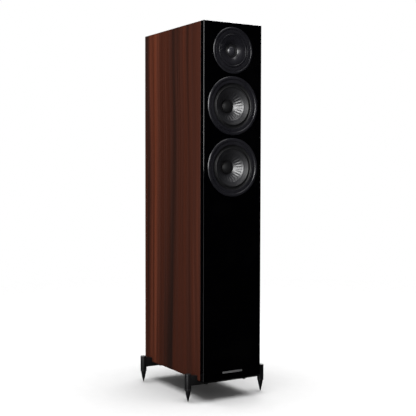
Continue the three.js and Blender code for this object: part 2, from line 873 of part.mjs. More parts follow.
function addFoam() {
  const x1 = innerHalfWidth - joinGap;
  const y1 = backPanelFrontY - joinGap - terminals.depth;
  const z0 = floorZ + foam.floorGap;
  const z1 = lowerBraceUndersideZ - foam.braceGap;
  const slab = box(x1 - foam.thickness, x1, y1 - foam.length, y1, z0, z1);
  add("damping_foam", slab, finishes.foam());
}

function wire(points, steps) {
  const route = new THREE.CatmullRomCurve3(points.map((point) => new THREE.Vector3(...point)));
  const section = new THREE.Shape();
  section.absarc(0, 0, loom.radius, 0, 2 * Math.PI);
  return new THREE.ExtrudeGeometry(section, {
    steps,
    extrudePath: route,
    curveSegments: loom.sides / 2,
  });
}

// One trunk rises behind the drivers, with a branch to each of them and one to the terminals.
function addWiring() {
  const x = -loom.offset;
  const y = baffleFrontY + wooferDepth + loom.offset;
  const wooferRearY = baffleFrontY + wooferDepth + loom.radius;
  const tweeterRearY = baffleFrontY + tweeterDepth + loom.radius;
  const startZ = boardTopZ + joinGap;
  const trunk = wire(
    [
      [x, y, startZ],
      [x, y, startZ + 40],
      [x, y, lowerWooferZ],
      [x, y, upperWooferZ],
      [x, y - 8, tweeterZ - 30],
      [x + 10, (y + tweeterRearY) / 2, tweeterZ - 6],
      [x + 16, tweeterRearY, tweeterZ],
    ],
    24,
  );
  const branch = (z) => wire([[x, y, z - 30], [x + 4, y - 18, z - 6], [x + 8, wooferRearY, z]], 8);
  const tailY = cupFloorRearY - terminals.wall - terminals.tailLength - joinGap;
  const feed = wire(
    [
      [x, y, startZ + 16],
      [x + 10, y + 40, startZ + 30],
      [x + 8, tailY - 40, terminalsZ - 20],
      [-terminals.spacing / 2, tailY - 12, terminalsZ],
      [-terminals.spacing / 2, tailY, terminalsZ],
    ],
    16,
  );
  const harness = join(trunk, branch(upperWooferZ), branch(lowerWooferZ), feed);
  add("wiring_loom", harness, finishes.wire());
}

// ---- Feet ----

function outriggerGeometry(y) {
  const halfDepth = foot.barDepth / 2;
  const barTopZ = barBottomZ + foot.barThickness;
  const bossTopZ = bossBottomZ + foot.bossHeight;
  const bar = box(-spikeX, spikeX, -halfDepth, halfDepth, barBottomZ, barTopZ);
  const boreTopZ = bossBottomZ + spike.studLength + spike.boreReserve;
  const pieces = [bar];
  const bores = [];
  for (const side of [-1, 1]) {
    const innerX = side * (halfWidth + foot.wingClearance);
    const outerX = side * spikeX;
    const x0 = Math.min(innerX, outerX);
    const x1 = Math.max(innerX, outerX);
    pieces.push(box(x0, x1, -halfDepth, halfDepth, barBottomZ, barBottomZ + foot.wingHeight));
    const boss = turnedUpright([
      [0, bossBottomZ],
      [foot.bossRadius, bossBottomZ],
      [foot.bossRadius, bossTopZ - foot.bossChamfer],
      [foot.bossRadius - foot.bossChamfer, bossTopZ],
      [0, bossTopZ],
    ]);
    pieces.push(boss.translate(side * spikeX, 0, 0));
    const boreRadius = spike.studRadius + spike.studClearance;
    const bore = turnedUpright([[0, 0], [boreRadius, 0], [boreRadius, boreTopZ], [0, boreTopZ]]);
    bores.push(bore.translate(side * spikeX, 0, 0));
  }
  return cut(join(...pieces), ...bores).translate(0, y, 0);
}

function addFeet() {
  const rows = [["front", frontSpikeY], ["rear", rearSpikeY]];
  for (const [row, y] of rows) {
    add("outrigger_" + row, outriggerGeometry(y), finishes.satinBlack());
    for (const [side, sign] of [["left", -1], ["right", 1]]) {
      const x = sign * spikeX;
      const ringZ = spike.coneHeight + joinGap;
      const bore = spike.studRadius + spike.studClearance;
      const ring = turnedUpright([
        [bore, ringZ],
        [foot.bossRadius, ringZ],
        [foot.bossRadius, ringZ + spike.ringThickness],
        [bore, ringZ + spike.ringThickness],
      ]);
      add(`lock_ring_${row}_${side}`, ring.translate(x, y, 0), finishes.satinBlack());
      const studTop = spike.coneHeight + joinGap + spike.ringThickness + joinGap + spike.studLength;
      const point = turnedUpright([
        [0, 0],
        [spike.tipRadius, 0],
        [spike.coneRadius, spike.coneHeight - spike.shoulderHeight],
        [spike.coneRadius, spike.coneHeight],
        [spike.studRadius, spike.coneHeight],
        [spike.studRadius, studTop],
        [0, studTop],
      ]);
      add(`spike_${row}_${side}`, point.translate(x, y, 0), finishes.satinBlack());
    }
  }
}

addCabinetWalls();
addBackPanel();
addBraces();
addBaffle();
addBadge();
addWoofer("woofer_upper_", upperWooferZ);
addWoofer("woofer_lower_", lowerWooferZ);
addTweeter();
addReflexPort();
addTerminals();
addCrossover();
addFoam();
addWiring();
addFeet();

export default speaker;
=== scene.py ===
# A slim floorstanding loudspeaker: gloss black front, wood-wrapped cabinet and spiked outrigger feet.
# Lengths in the tables below are in millimetres; everything in the scene is in metres.
import json
import math

import bmesh
import bpy
from mathutils import Matrix, Vector
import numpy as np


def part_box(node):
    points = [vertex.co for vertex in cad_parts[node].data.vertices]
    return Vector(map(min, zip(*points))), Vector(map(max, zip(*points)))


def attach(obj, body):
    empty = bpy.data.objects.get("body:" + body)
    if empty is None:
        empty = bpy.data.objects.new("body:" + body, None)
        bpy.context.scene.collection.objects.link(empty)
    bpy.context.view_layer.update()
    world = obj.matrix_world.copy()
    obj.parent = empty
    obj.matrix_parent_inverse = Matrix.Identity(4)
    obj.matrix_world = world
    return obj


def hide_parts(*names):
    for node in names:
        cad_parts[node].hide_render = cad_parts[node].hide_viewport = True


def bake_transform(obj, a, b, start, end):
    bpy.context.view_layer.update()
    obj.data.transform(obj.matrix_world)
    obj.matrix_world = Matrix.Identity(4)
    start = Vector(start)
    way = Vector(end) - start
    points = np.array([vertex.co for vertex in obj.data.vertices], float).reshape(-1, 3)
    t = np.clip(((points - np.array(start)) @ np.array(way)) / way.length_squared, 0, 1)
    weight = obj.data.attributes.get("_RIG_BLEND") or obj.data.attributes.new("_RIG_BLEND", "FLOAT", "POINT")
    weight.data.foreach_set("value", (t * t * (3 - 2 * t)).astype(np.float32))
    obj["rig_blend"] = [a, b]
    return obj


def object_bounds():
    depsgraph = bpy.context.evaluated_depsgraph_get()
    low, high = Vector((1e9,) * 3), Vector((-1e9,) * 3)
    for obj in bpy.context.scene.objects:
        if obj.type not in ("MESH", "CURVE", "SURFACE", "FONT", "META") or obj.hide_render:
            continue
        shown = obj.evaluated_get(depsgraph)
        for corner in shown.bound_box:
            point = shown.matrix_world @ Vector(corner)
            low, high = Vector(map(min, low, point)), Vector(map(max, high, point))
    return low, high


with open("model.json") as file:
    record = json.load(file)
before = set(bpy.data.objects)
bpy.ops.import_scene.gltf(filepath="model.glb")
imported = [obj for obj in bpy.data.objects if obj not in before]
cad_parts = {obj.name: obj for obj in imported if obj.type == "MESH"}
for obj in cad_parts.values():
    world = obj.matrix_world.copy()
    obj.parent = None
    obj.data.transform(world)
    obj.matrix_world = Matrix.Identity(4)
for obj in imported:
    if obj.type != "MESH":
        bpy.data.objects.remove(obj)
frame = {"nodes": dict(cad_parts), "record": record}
cad_low, cad_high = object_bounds()
nodes = frame["nodes"]
MM = 0.001
FULL_TURN = math.tau
FILLET_STEPS = 4

baffle_low, baffle_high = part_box("front_baffle")
FACE_Y = baffle_low.y
REAR_Y = cad_high.y


# ---- Helpers for modelling ----

def deselect_objects():
    bpy.ops.object.select_all(action="DESELECT")


def only(piece):
    """Selects one piece alone and makes it the active one."""
    deselect_objects()
    piece.select_set(True)
    bpy.context.view_layer.objects.active = piece


def edit(on=True):
    bpy.ops.object.mode_set(mode="EDIT" if on else "OBJECT")


def pick(kind, test):
    """In edit mode, selects the vertices, edges or faces whose every corner passes the test."""
    bpy.ops.mesh.select_mode(type=kind)
    bpy.ops.mesh.select_all(action="DESELECT")
    mesh = bmesh.from_edit_mesh(bpy.context.edit_object.data)
    parts = {"VERT": mesh.verts, "EDGE": mesh.edges, "FACE": mesh.faces}[kind]
    place = bpy.context.edit_object.matrix_world
    for part in parts:
        corners = [part] if kind == "VERT" else part.verts
        part.select = all(test(place @ corner.co) for corner in corners)
    mesh.select_flush_mode()
    bmesh.update_edit_mesh(bpy.context.edit_object.data)


def push(x=0.0, y=0.0, z=0.0):
    """Extrudes the selection by so many metres."""
    bpy.ops.mesh.extrude_region_move(TRANSFORM_OT_translate={"value": (x, y, z)})


def settle(name):
    """Names the piece being made and puts its origin at the world's, unturned and unscaled."""
    piece = bpy.context.active_object
    piece.name = name
    piece.data.name = name
    bpy.ops.object.transform_apply(location=True, rotation=True, scale=True)
    return piece


def tidy_surface():
    """In edit mode, merges doubles and turns every face outwards."""
    bpy.ops.mesh.select_mode(type="VERT")
    bpy.ops.mesh.select_all(action="SELECT")
    bpy.ops.mesh.remove_doubles(threshold=2e-6)
    bpy.ops.mesh.normals_make_consistent(inside=False)


def draw_line(points):
    """Starts a new piece in edit mode as a line of edges through the points."""
    deselect_objects()
    bpy.ops.mesh.primitive_plane_add(size=MM, location=points[0])
    edit()
    bpy.ops.mesh.select_mode(type="VERT")
    bpy.ops.mesh.select_all(action="SELECT")
    bpy.ops.mesh.merge(type="CENTER")
    for before, after in zip(points, points[1:]):
        push(*(after - before))


def rounded(points):
    """Replaces each corner given as (a, b, fillet) with a short curve. A corner without one stays."""
    line = []
    count = len(points)
    for index, point in enumerate(points):
        corner = Vector(point[:2])
        if len(point) < 3:
            line.append(corner)
            continue
        before = (Vector(points[index - 1][:2]) - corner).normalized() * point[2]
        after = (Vector(points[(index + 1) % count][:2]) - corner).normalized() * point[2]
        for step in range(FILLET_STEPS + 1):
            share = step / FILLET_STEPS
            bend = (1 - share) ** 2 * before + share ** 2 * after
            line.append(corner + bend)
    return line


def turned(name, outline, centre, steps=96, upright=False, closed=True, angle=FULL_TURN):
    """Spins an outline of (radius, depth) in millimetres about an axis along Y, or Z if upright."""
    points = []
    for radius, depth in rounded(outline):
        away = Vector((radius, 0, depth)) if upright else Vector((radius, depth, 0))
        points.append(centre + away * MM)
    if closed:
        points.append(points[0].copy())
    draw_line(points)
    bpy.ops.mesh.select_all(action="SELECT")
    bpy.ops.mesh.remove_doubles(threshold=3e-6)
    axis = (0, 0, 1) if upright else (0, 1, 0)
    bpy.ops.mesh.select_all(action="SELECT")
    bpy.ops.mesh.spin(steps=steps, angle=angle, center=centre, axis=axis)
    tidy_surface()
    edit(False)
    return settle(name)


def drawn_board(name, outline, low_y, high_y):
    """Fills an outline of points in X and Z, and draws it out along Y."""
    points = [Vector((x, low_y, z)) for x, z in outline]
    draw_line(points + [points[0].copy()])
    bpy.ops.mesh.select_all(action="SELECT")
    bpy.ops.mesh.remove_doubles(threshold=3e-6)
    bpy.ops.mesh.select_all(action="SELECT")
    bpy.ops.mesh.edge_face_add()
    push(y=high_y - low_y)
    tidy_surface()
    edit(False)
    return settle(name)


def block(name, low, high):
    """A cube stretched between two corners, left in object mode for more work."""
    deselect_objects()
    middle = (Vector(low) + Vector(high)) / 2
    bpy.ops.mesh.primitive_cube_add(size=1, location=middle)
    piece = bpy.context.active_object
    piece.scale = Vector(high) - Vector(low)
    return settle(name)


def with_modifier(piece, kind, **settings):
    """Adds a modifier with these settings and applies it."""
    only(piece)
    modifier = piece.modifiers.new(kind, kind)
    for key, value in settings.items():
        setattr(modifier, key, value)
    bpy.ops.object.modifier_apply(modifier=modifier.name)
    return piece


def softened(piece, width, segments, angle):
    """Rounds every edge sharper than the angle by so many millimetres."""
    return with_modifier(
        piece, "BEVEL", width=width * MM, segments=segments, limit_method="ANGLE",
        angle_limit=math.radians(angle), miter_outer="MITER_ARC",
    )


def combined(piece, tool, operation):
    """Adds a second solid to the piece or cuts it away, and removes the second one."""
    with_modifier(piece, "BOOLEAN", object=tool, operation=operation, solver="EXACT")
    bpy.data.objects.remove(tool)
    return piece


def joined(pieces, name):
    deselect_objects()
    for piece in pieces:
        piece.select_set(True)
    bpy.context.view_layer.objects.active = pieces[0]
    bpy.ops.object.join()
    pieces[0].name = name
    return pieces[0]


def copied(piece, name, offset):
    """A copy with its own mesh, moved by an offset."""
    twin = bpy.data.objects.new(name, piece.data.copy())
    twin.data.name = name
    bpy.context.collection.objects.link(twin)
    twin.data.transform(Matrix.Translation(offset))
    return twin


def shaded(piece, angle=32, flat_faces=False):
    """Smooths the shading up to an angle. flat_faces keeps large flat faces even."""
    only(piece)
    bpy.ops.object.shade_smooth_by_angle(angle=math.radians(angle))
    if flat_faces:
        with_modifier(piece, "WEIGHTED_NORMAL", keep_sharp=True, weight=100)
    return piece


def finished(piece, slot, body="cabinet", stands_for=(), angle=32, flat_faces=False):
    """Shades the piece, gives it its finish, and lets it ride on its body."""
    shaded(piece, angle, flat_faces)
    piece.data.materials.clear()
    piece.data.materials.append(materials[slot])
    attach(piece, body)
    if stands_for:
        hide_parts(*stands_for)
    return piece


def arc(centre, radius, start, end, steps):
    """Points of a circular arc in degrees, about a centre given as two numbers."""
    points = []
    for step in range(steps + 1):
        angle = math.radians(start + (end - start) * step / steps)
        points.append((centre[0] + radius * math.cos(angle), centre[1] + radius * math.sin(angle)))
    return points


# ---- Helpers for materials ----

def node(tree, kind, settings=None, **inputs):
    """Adds a shader node. An input is a value or another node's output; _ stands for a space."""
    made = tree.nodes.new("ShaderNode" + kind)
    for key, value in (settings or {}).items():
        setattr(made, key, value)
    for key, value in inputs.items():
        socket = made.inputs[key.replace("_", " ")]
        if isinstance(value, bpy.types.NodeSocket):
            tree.links.new(value, socket)
        else:
            socket.default_value = value
    return made


def feed(tree, made, values):
    for index, value in enumerate(values):
        if isinstance(value, bpy.types.NodeSocket):
            tree.links.new(value, made.inputs[index])
        elif value is not None:
            made.inputs[index].default_value = value
    return made.outputs[0]


def calc(tree, operation, *values):
    made = tree.nodes.new("ShaderNodeMath")
    made.operation = operation
    return feed(tree, made, values)


def spread(tree, value, low, high, to_low=0.0, to_high=1.0):
    """Maps a value smoothly from one range to another, held at the ends."""
    made = tree.nodes.new("ShaderNodeMapRange")
    made.interpolation_type = "SMOOTHSTEP"
    return feed(tree, made, (value, low, high, to_low, to_high))


def blended(tree, factor, first, second):
    """Mixes two colours by a factor."""
    made = tree.nodes.new("ShaderNodeMix")
    made.data_type = "RGBA"
    for index, value in ((0, factor), (6, first), (7, second)):
        if isinstance(value, bpy.types.NodeSocket):
            tree.links.new(value, made.inputs[index])
        else:
            made.inputs[index].default_value = value
    return made.outputs[2]


def noise(tree, vector, scale, detail=3.0, roughness=0.5, distortion=0.0):
    return node(
        tree, "TexNoise", Vector=vector, Scale=scale, Detail=detail, Roughness=roughness,
        Distortion=distortion,
    ).outputs["Fac"]


def stretched(tree, vector, x, y, z):
    """Scales a vector by a different amount along each axis."""
    return node(tree, "Mapping", {"vector_type": "POINT"}, Vector=vector, Scale=(x, y, z)).outputs[0]


def new_group(name, inputs, outputs):
    """A shader node group. Inputs are (name, kind, default) and outputs are (name, kind)."""
    tree = bpy.data.node_groups.new(name, "ShaderNodeTree")
    for label, kind, default in inputs:
        socket = tree.interface.new_socket(label, in_out="INPUT", socket_type="NodeSocket" + kind)
        if default is not None:
            socket.default_value = default
    for label, kind in outputs:
        tree.interface.new_socket(label, in_out="OUTPUT", socket_type="NodeSocket" + kind)
    return tree, tree.nodes.new("NodeGroupInput").outputs, tree.nodes.new("NodeGroupOutput").inputs


def group_node(tree, group, **inputs):
    made = tree.nodes.new("ShaderNodeGroup")
    made.node_tree = group
    for key, value in inputs.items():
        socket = made.inputs[key.replace("_", " ")]
        if isinstance(value, bpy.types.NodeSocket):
            tree.links.new(value, socket)
        else:
            socket.default_value = value
    return made.outputs


# ---- Effects shared by the materials ----

def make_surface_grain():
    """The fine grain of a moulded, cast or painted skin, with slow changes of tone and sheen."""
    tree, given, out = new_group(
        "surface_grain",
        [
            ("Vector", "Vector", None), ("Grain Size", "Float", 0.001), ("Low", "Float", 0.3),
            ("High", "Float", 0.5),
        ],
        [("Roughness", "Float"), ("Height", "Float"), ("Tone", "Float")],
    )
    fine = noise(tree, given["Vector"], calc(tree, "DIVIDE", 1.0, given["Grain Size"]), 3.0, 0.6)
    slow = noise(tree, given["Vector"], 14.0, 4.0, 0.6, 0.4)
    mingled = calc(tree, "ADD", calc(tree, "MULTIPLY", fine, 0.45), calc(tree, "MULTIPLY", slow, 0.55))
    rough = node(
        tree, "MapRange", Value=mingled, From_Min=0.36, From_Max=0.64, To_Min=given["Low"],
        To_Max=given["High"],
    )
    tree.links.new(rough.outputs[0], out["Roughness"])
    tree.links.new(fine, out["Height"])
    tree.links.new(spread(tree, slow, 0.3, 0.7), out["Tone"])
    return tree


def make_edge_wear():
    """A mask of the sharp outer edges, broken up a little."""
    tree, given, out = new_group(
        "edge_wear",
        [("Vector", "Vector", None), ("Amount", "Float", 0.5)],
        [("Mask", "Float")],
    )
    sharp = node(tree, "NewGeometry").outputs["Pointiness"]
    edge = spread(tree, sharp, 0.52, 0.60)
    broken = spread(tree, noise(tree, given["Vector"], 90.0, 4.0), 0.35, 0.7)
    mask = calc(tree, "MULTIPLY", calc(tree, "MULTIPLY", edge, broken), given["Amount"])
    tree.links.new(mask, out["Mask"])
    return tree


def make_ring_marks():
    """Fine concentric lines about the vector's Y axis, as a lathe or a mould leaves them."""
    tree, given, out = new_group(
        "ring_marks",
        [("Vector", "Vector", None), ("Spacing", "Float", 0.001)],
        [("Height", "Float"), ("Mask", "Float")],
    )
    parts = node(tree, "SeparateXYZ", Vector=given["Vector"]).outputs
    across = calc(tree, "MULTIPLY", parts["X"], parts["X"])
    upward = calc(tree, "MULTIPLY", parts["Z"], parts["Z"])
    radius = calc(tree, "SQRT", calc(tree, "ADD", across, upward))
    turns = calc(tree, "DIVIDE", radius, given["Spacing"])
    lines = node(tree, "TexNoise", {"noise_dimensions": "1D"}, W=turns, Scale=1.0, Detail=2.0).outputs["Fac"]
    tree.links.new(lines, out["Height"])
    tree.links.new(spread(tree, lines, 0.4, 0.6), out["Mask"])
    return tree


def make_smudges():
    """Faint wiped patches, as cleaning and handling leave them on a polished skin."""
    tree, given, out = new_group(
        "smudges",
        [("Vector", "Vector", None), ("Size", "Float", 0.1)],
        [("Mask", "Float")],
    )
    scale = calc(tree, "DIVIDE", 1.0, given["Size"])
    patches = noise(tree, given["Vector"], scale, 5.0, 0.62, 0.8)
    tree.links.new(spread(tree, patches, 0.45, 0.75), out["Mask"])
    return tree


def make_cloth_weave():
    """Two sets of crossing threads, for the coated cloth of the dome and the spider."""
    tree, given, out = new_group(
        "cloth_weave",
        [("Vector", "Vector", None), ("Thread", "Float", 0.0005)],
        [("Height", "Float"), ("Mask", "Float")],
    )
    parts = node(tree, "SeparateXYZ", Vector=given["Vector"]).outputs
    turns = calc(tree, "DIVIDE", math.pi, given["Thread"])
    warp = calc(tree, "SINE", calc(tree, "MULTIPLY", parts["X"], turns))
    weft = calc(tree, "SINE", calc(tree, "MULTIPLY", parts["Z"], turns))
    crossing = calc(tree, "MULTIPLY", warp, weft)
    height = spread(tree, crossing, -1.0, 1.0)
    tree.links.new(height, out["Height"])
    fuzz = noise(tree, given["Vector"], 1200.0, 2.0)
    tree.links.new(calc(tree, "MULTIPLY", height, fuzz), out["Mask"])
    return tree


def make_wood_figure():
    """Straight-grained dark wood. The grain runs up the sides and across the top; Y lies across it."""
    tree, given, out = new_group(
        "wood_figure",
        [
            ("Vector", "Vector", None), ("Dark", "Color", None), ("Base", "Color", None),
            ("Light", "Color", None),
        ],
        [("Color", "Color"), ("Height", "Float"), ("Roughness", "Float")],
    )
    vector = given["Vector"]
    parts = node(tree, "SeparateXYZ", Vector=vector).outputs
    sway = noise(tree, stretched(tree, vector, 1.5, 3.0, 1.5), 1.0, 1.0)
    drift = calc(tree, "MULTIPLY", calc(tree, "SUBTRACT", sway, 0.5), 0.04)
    moved_y = calc(tree, "ADD", parts["Y"], drift)
    swayed = node(tree, "CombineXYZ", X=parts["X"], Y=moved_y, Z=parts["Z"]).outputs[0]

    bands = noise(tree, stretched(tree, swayed, 0.8, 15.0, 0.5), 1.0, 2.0, 0.5)
    streaks = noise(tree, stretched(tree, swayed, 1.4, 48.0, 0.7), 1.0, 2.0, 0.5)
    fibres = noise(tree, stretched(tree, swayed, 1.6, 130.0, 0.9), 1.0, 1.0, 0.4)
    pores = noise(tree, stretched(tree, swayed, 8.0, 420.0, 5.0), 1.0, 0.0, 0.5)

    pale_streak = calc(tree, "ABSOLUTE", calc(tree, "SUBTRACT", moved_y, 0.106))
    pale_band = spread(tree, pale_streak, 0.004, 0.048, 1.0, 0.0)
    dark_streak = calc(tree, "ABSOLUTE", calc(tree, "SUBTRACT", moved_y, 0.004))
    dark_band = spread(tree, dark_streak, 0.0, 0.085, 1.0, 0.0)
    # Painted shade: the dark streak grows stronger towards the bottom, so the lower sides are painted darker
    # as shade.
    painted_shade_toward_bottom = spread(tree, parts["Z"], 0.40, 0.95, 1.0, 0.55)
    dark_streak_and_painted_shade = calc(tree, "MULTIPLY", dark_band, painted_shade_toward_bottom)

    tone = calc(tree, "ADD", calc(tree, "MULTIPLY", bands, 0.50), calc(tree, "MULTIPLY", streaks, 0.36))
    tone = calc(tree, "ADD", tone, calc(tree, "MULTIPLY", fibres, 0.14))
    tone = calc(tree, "ADD", tone, calc(tree, "MULTIPLY", pale_band, 0.075))
    # The dark streak darkens the tone, and more so low down, where it is painted shade.
    tone = calc(tree, "SUBTRACT", tone, calc(tree, "MULTIPLY", dark_streak_and_painted_shade, 0.07))

    ripple_warp = noise(tree, stretched(tree, vector, 30.0, 22.0, 9.0), 1.0, 3.0)
    ripple_warped = calc(tree, "MULTIPLY", ripple_warp, 16.0)
    ripple = calc(tree, "SINE", calc(tree, "MULTIPLY_ADD", parts["Z"], 720.0, ripple_warped))
    ripple_place = calc(tree, "ABSOLUTE", calc(tree, "SUBTRACT", moved_y, 0.062))
    ripple_band = spread(tree, ripple_place, 0.008, 0.034, 1.0, 0.05)
    patches = noise(tree, stretched(tree, vector, 3.0, 12.0, 3.5), 1.0, 2.0)
    ripple_patch = spread(tree, patches, 0.40, 0.62)
    ripple_height = spread(tree, parts["Z"], 0.62, 0.80, 1.0, 0.1)
    ripple_share = calc(tree, "MULTIPLY", calc(tree, "MULTIPLY", ripple_band, ripple_patch), ripple_height)
    rippled = calc(tree, "MULTIPLY", ripple, ripple_share)
    tone = calc(tree, "MULTIPLY_ADD", rippled, 0.03, tone)

    lower = blended(tree, spread(tree, tone, 0.34, 0.52), given["Dark"], given["Base"])
    colour = blended(tree, spread(tree, tone, 0.52, 0.66), lower, given["Light"])
    pore_mask = spread(tree, pores, 0.60, 0.74)
    colour = blended(tree, calc(tree, "MULTIPLY", pore_mask, 0.12), colour, given["Dark"])
    tree.links.new(colour, out["Color"])
    relief = calc(tree, "MULTIPLY", calc(tree, "SUBTRACT", fibres, pore_mask), 0.5)
    tree.links.new(relief, out["Height"])
    tree.links.new(spread(tree, fibres, 0.3, 0.7, 0.36, 0.52), out["Roughness"])
    return tree


surface_grain = make_surface_grain()
edge_wear = make_edge_wear()
ring_marks = make_ring_marks()
smudges = make_smudges()
cloth_weave = make_cloth_weave()
wood_figure = make_wood_figure()


# ---- Finishes ----

materials = {}


def new_finish(slot, **constants):
    """A material with a Principled shader. Returns its tree, the shader and the Object coordinates."""
    material = bpy.data.materials.new(slot)
    material.use_nodes = True
    tree = material.node_tree
    shader = tree.nodes["Principled BSDF"]
    for key, value in constants.items():
        shader.inputs[key.replace("_", " ")].default_value = value
    materials[slot] = material
    return tree, shader, node(tree, "TexCoord").outputs["Object"]


def coat(tree, shader, colour, roughness):
    """Gives the shader a colour and a roughness that vary over the skin."""
    tree.links.new(colour, shader.inputs["Base Color"])
    tree.links.new(roughness, shader.inputs["Roughness"])


def bump(tree, shader, height, distance, strength=1.0):
    relief = node(tree, "Bump", Strength=strength, Distance=distance, Height=height)
    tree.links.new(relief.outputs[0], shader.inputs["Normal"])


def grained_finish(slot, dark, light, low, high, grain, relief, wear=0.0, worn=None, **constants):
    """A moulded, cast, coated or sintered skin, between two near colours."""
    tree, shader, place = new_finish(slot, **constants)
    skin = group_node(tree, surface_grain, Vector=place, Grain_Size=grain, Low=low, High=high)
    colour = blended(tree, skin["Tone"], (*dark, 1), (*light, 1))
    if wear:
        mask = group_node(tree, edge_wear, Vector=place, Amount=wear)["Mask"]
        colour = blended(tree, mask, colour, (*(worn or light), 1))
    coat(tree, shader, colour, skin["Roughness"])
    bump(tree, shader, skin["Height"], relief)
    return tree, shader, place, skin


def turned_finish(slot, dark, light, low, high, spacing, relief, centres, **constants):
    """A skin with fine rings about the nearest of the given centres, as (x, z) in metres."""
    tree, shader, place = new_finish(slot, **constants)
    skin = group_node(tree, surface_grain, Vector=place, Grain_Size=0.0009, Low=low, High=high)
    colour = blended(tree, skin["Tone"], (*dark, 1), (*light, 1))
    coat(tree, shader, colour, skin["Roughness"])
    parts = node(tree, "SeparateXYZ", Vector=place).outputs
    height = None
    for x, z, low_z in centres:
        centred = node(tree, "Mapping", {"vector_type": "POINT"}, Vector=place, Location=(-x, 0, -z))
        rings = group_node(tree, ring_marks, Vector=centred.outputs[0], Spacing=spacing)["Height"]
        if height is None:
            height = rings
            continue
        above = calc(tree, "GREATER_THAN", parts["Z"], low_z)
        rise = calc(tree, "SUBTRACT", rings, height)
        height = calc(tree, "MULTIPLY_ADD", rise, above, height)
    bump(tree, shader, height, relief)
    return tree, shader, place


def middle_of(name):
    low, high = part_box(name)
    return (low + high) / 2


upper_z = middle_of("woofer_upper_cone").z
lower_z = middle_of("woofer_lower_cone").z
tweeter_z = middle_of("tweeter_dome").z
driver_centres = [
    (0, lower_z, 0),
    (0, upper_z, (lower_z + upper_z) / 2),
    (0, tweeter_z, (upper_z + 77.5 * MM + tweeter_z - 61 * MM) / 2),
]


def make_wood_wrap():
    tree, shader, place = new_finish("wood_wrap", Specular_IOR_Level=0.22)
    figure = group_node(
        tree, wood_figure, Vector=place, Dark=(0.0092, 0.0040, 0.0029, 1), Base=(0.0280, 0.0069, 0.0034, 1),
        Light=(0.064, 0.0150, 0.0064, 1),
    )
    coat(tree, shader, figure["Color"], figure["Roughness"])
    bump(tree, shader, figure["Height"], 0.00006, 0.2)


def make_gloss_black():
    tree, shader, place = new_finish("gloss_black", Coat_Roughness=0.02, IOR=1.46, Specular_IOR_Level=0.38)
    wiped = group_node(tree, smudges, Vector=place, Size=0.09)["Mask"]
    colour = blended(tree, wiped, (0.0002, 0.0002, 0.0003, 1), (0.0005, 0.0005, 0.0006, 1))
    coat(tree, shader, colour, calc(tree, "MULTIPLY_ADD", wiped, 0.05, 0.045))
    tree.links.new(calc(tree, "MULTIPLY_ADD", wiped, -0.05, 0.12), shader.inputs["Coat Weight"])
    bump(tree, shader, noise(tree, place, 45.0, 1.0), 0.00004, 0.25)


def make_cloth(slot, dark, light, thread, rough, relief, **constants):
    tree, shader, place = new_finish(slot, **constants)
    weave = group_node(tree, cloth_weave, Vector=place, Thread=thread)
    low, high = rough - 0.08, rough + 0.08
    skin = group_node(tree, surface_grain, Vector=place, Grain_Size=0.0015, Low=low, High=high)
    colour = blended(tree, weave["Mask"], (*dark, 1), (*light, 1))
    coat(tree, shader, colour, skin["Roughness"])
    bump(tree, shader, weave["Height"], relief)


def make_board(slot, dark, light, rough, relief, fleck):
    """Pressed board: short fibres and flecks."""
    tree, shader, place = new_finish(slot)
    fibres = noise(tree, place, fleck, 5.0, 0.7, 1.2)
    specks = noise(tree, place, fleck * 3.1, 2.0)
    tone = calc(tree, "ADD", calc(tree, "MULTIPLY", fibres, 0.6), calc(tree, "MULTIPLY", specks, 0.4))
    colour = blended(tree, spread(tree, tone, 0.38, 0.62), (*dark, 1), (*light, 1))
    coat(tree, shader, colour, spread(tree, specks, 0.3, 0.7, rough - 0.08, rough + 0.08))
    bump(tree, shader, tone, relief)


def make_copper_coil():
    tree, shader, place = new_finish("copper_coil", Metallic=1.0)
    skin = group_node(tree, surface_grain, Vector=place, Grain_Size=0.004, Low=0.22, High=0.36)
    colour = blended(tree, skin["Tone"], (0.42, 0.12, 0.035, 1), (0.60, 0.22, 0.075, 1))
    coat(tree, shader, colour, skin["Roughness"])
    bump(tree, shader, skin["Height"], 0.00003)


make_wood_wrap()
make_gloss_black()
make_copper_coil()
make_board("black_board", (0.0075, 0.0075, 0.008), (0.014, 0.014, 0.0145), 0.66, 0.00012, 900.0)
make_board("raw_board", (0.24, 0.135, 0.065), (0.40, 0.25, 0.13), 0.86, 0.00015, 420.0)
make_board("circuit_board", (0.30, 0.17, 0.075), (0.42, 0.26, 0.12), 0.72, 0.0001, 380.0)
turned_finish(
    "driver_grey", (0.0042, 0.0041, 0.0054), (0.0068, 0.0066, 0.0084), 0.24, 0.34, 0.0007, 0.000012,
    driver_centres,
)
turned_finish(
    "cone_polymer", (0.0045, 0.0045, 0.0056), (0.0080, 0.0080, 0.0096), 0.40, 0.48, 0.0011, 0.00001,
    driver_centres, Specular_IOR_Level=1.0,
)
grained_finish("rubber", (0.0020, 0.0020, 0.0024), (0.0036, 0.0036, 0.0042), 0.50, 0.60, 0.0006, 0.00002)
make_cloth("soft_dome", (0.010, 0.010, 0.012), (0.022, 0.022, 0.026), 0.0007, 0.26, 0.00001)
make_cloth("spider_cloth", (0.40, 0.21, 0.045), (0.62, 0.36, 0.10), 0.0011, 0.82, 0.00012)
grained_finish(
    "cast_frame", (0.016, 0.016, 0.018), (0.026, 0.026, 0.029), 0.42, 0.58, 0.0011, 0.00008, 0.5,
    (0.12, 0.12, 0.125), Metallic=0.6,
)
turned_finish(
    "steel", (0.42, 0.43, 0.45), (0.56, 0.57, 0.59), 0.22, 0.36, 0.0006, 0.00002, driver_centres,
    Metallic=1.0,
)
grained_finish(
    "ferrite", (0.020, 0.020, 0.022), (0.036, 0.036, 0.039), 0.60, 0.78, 0.0007, 0.00009, 0.5,
    (0.09, 0.09, 0.095),
)
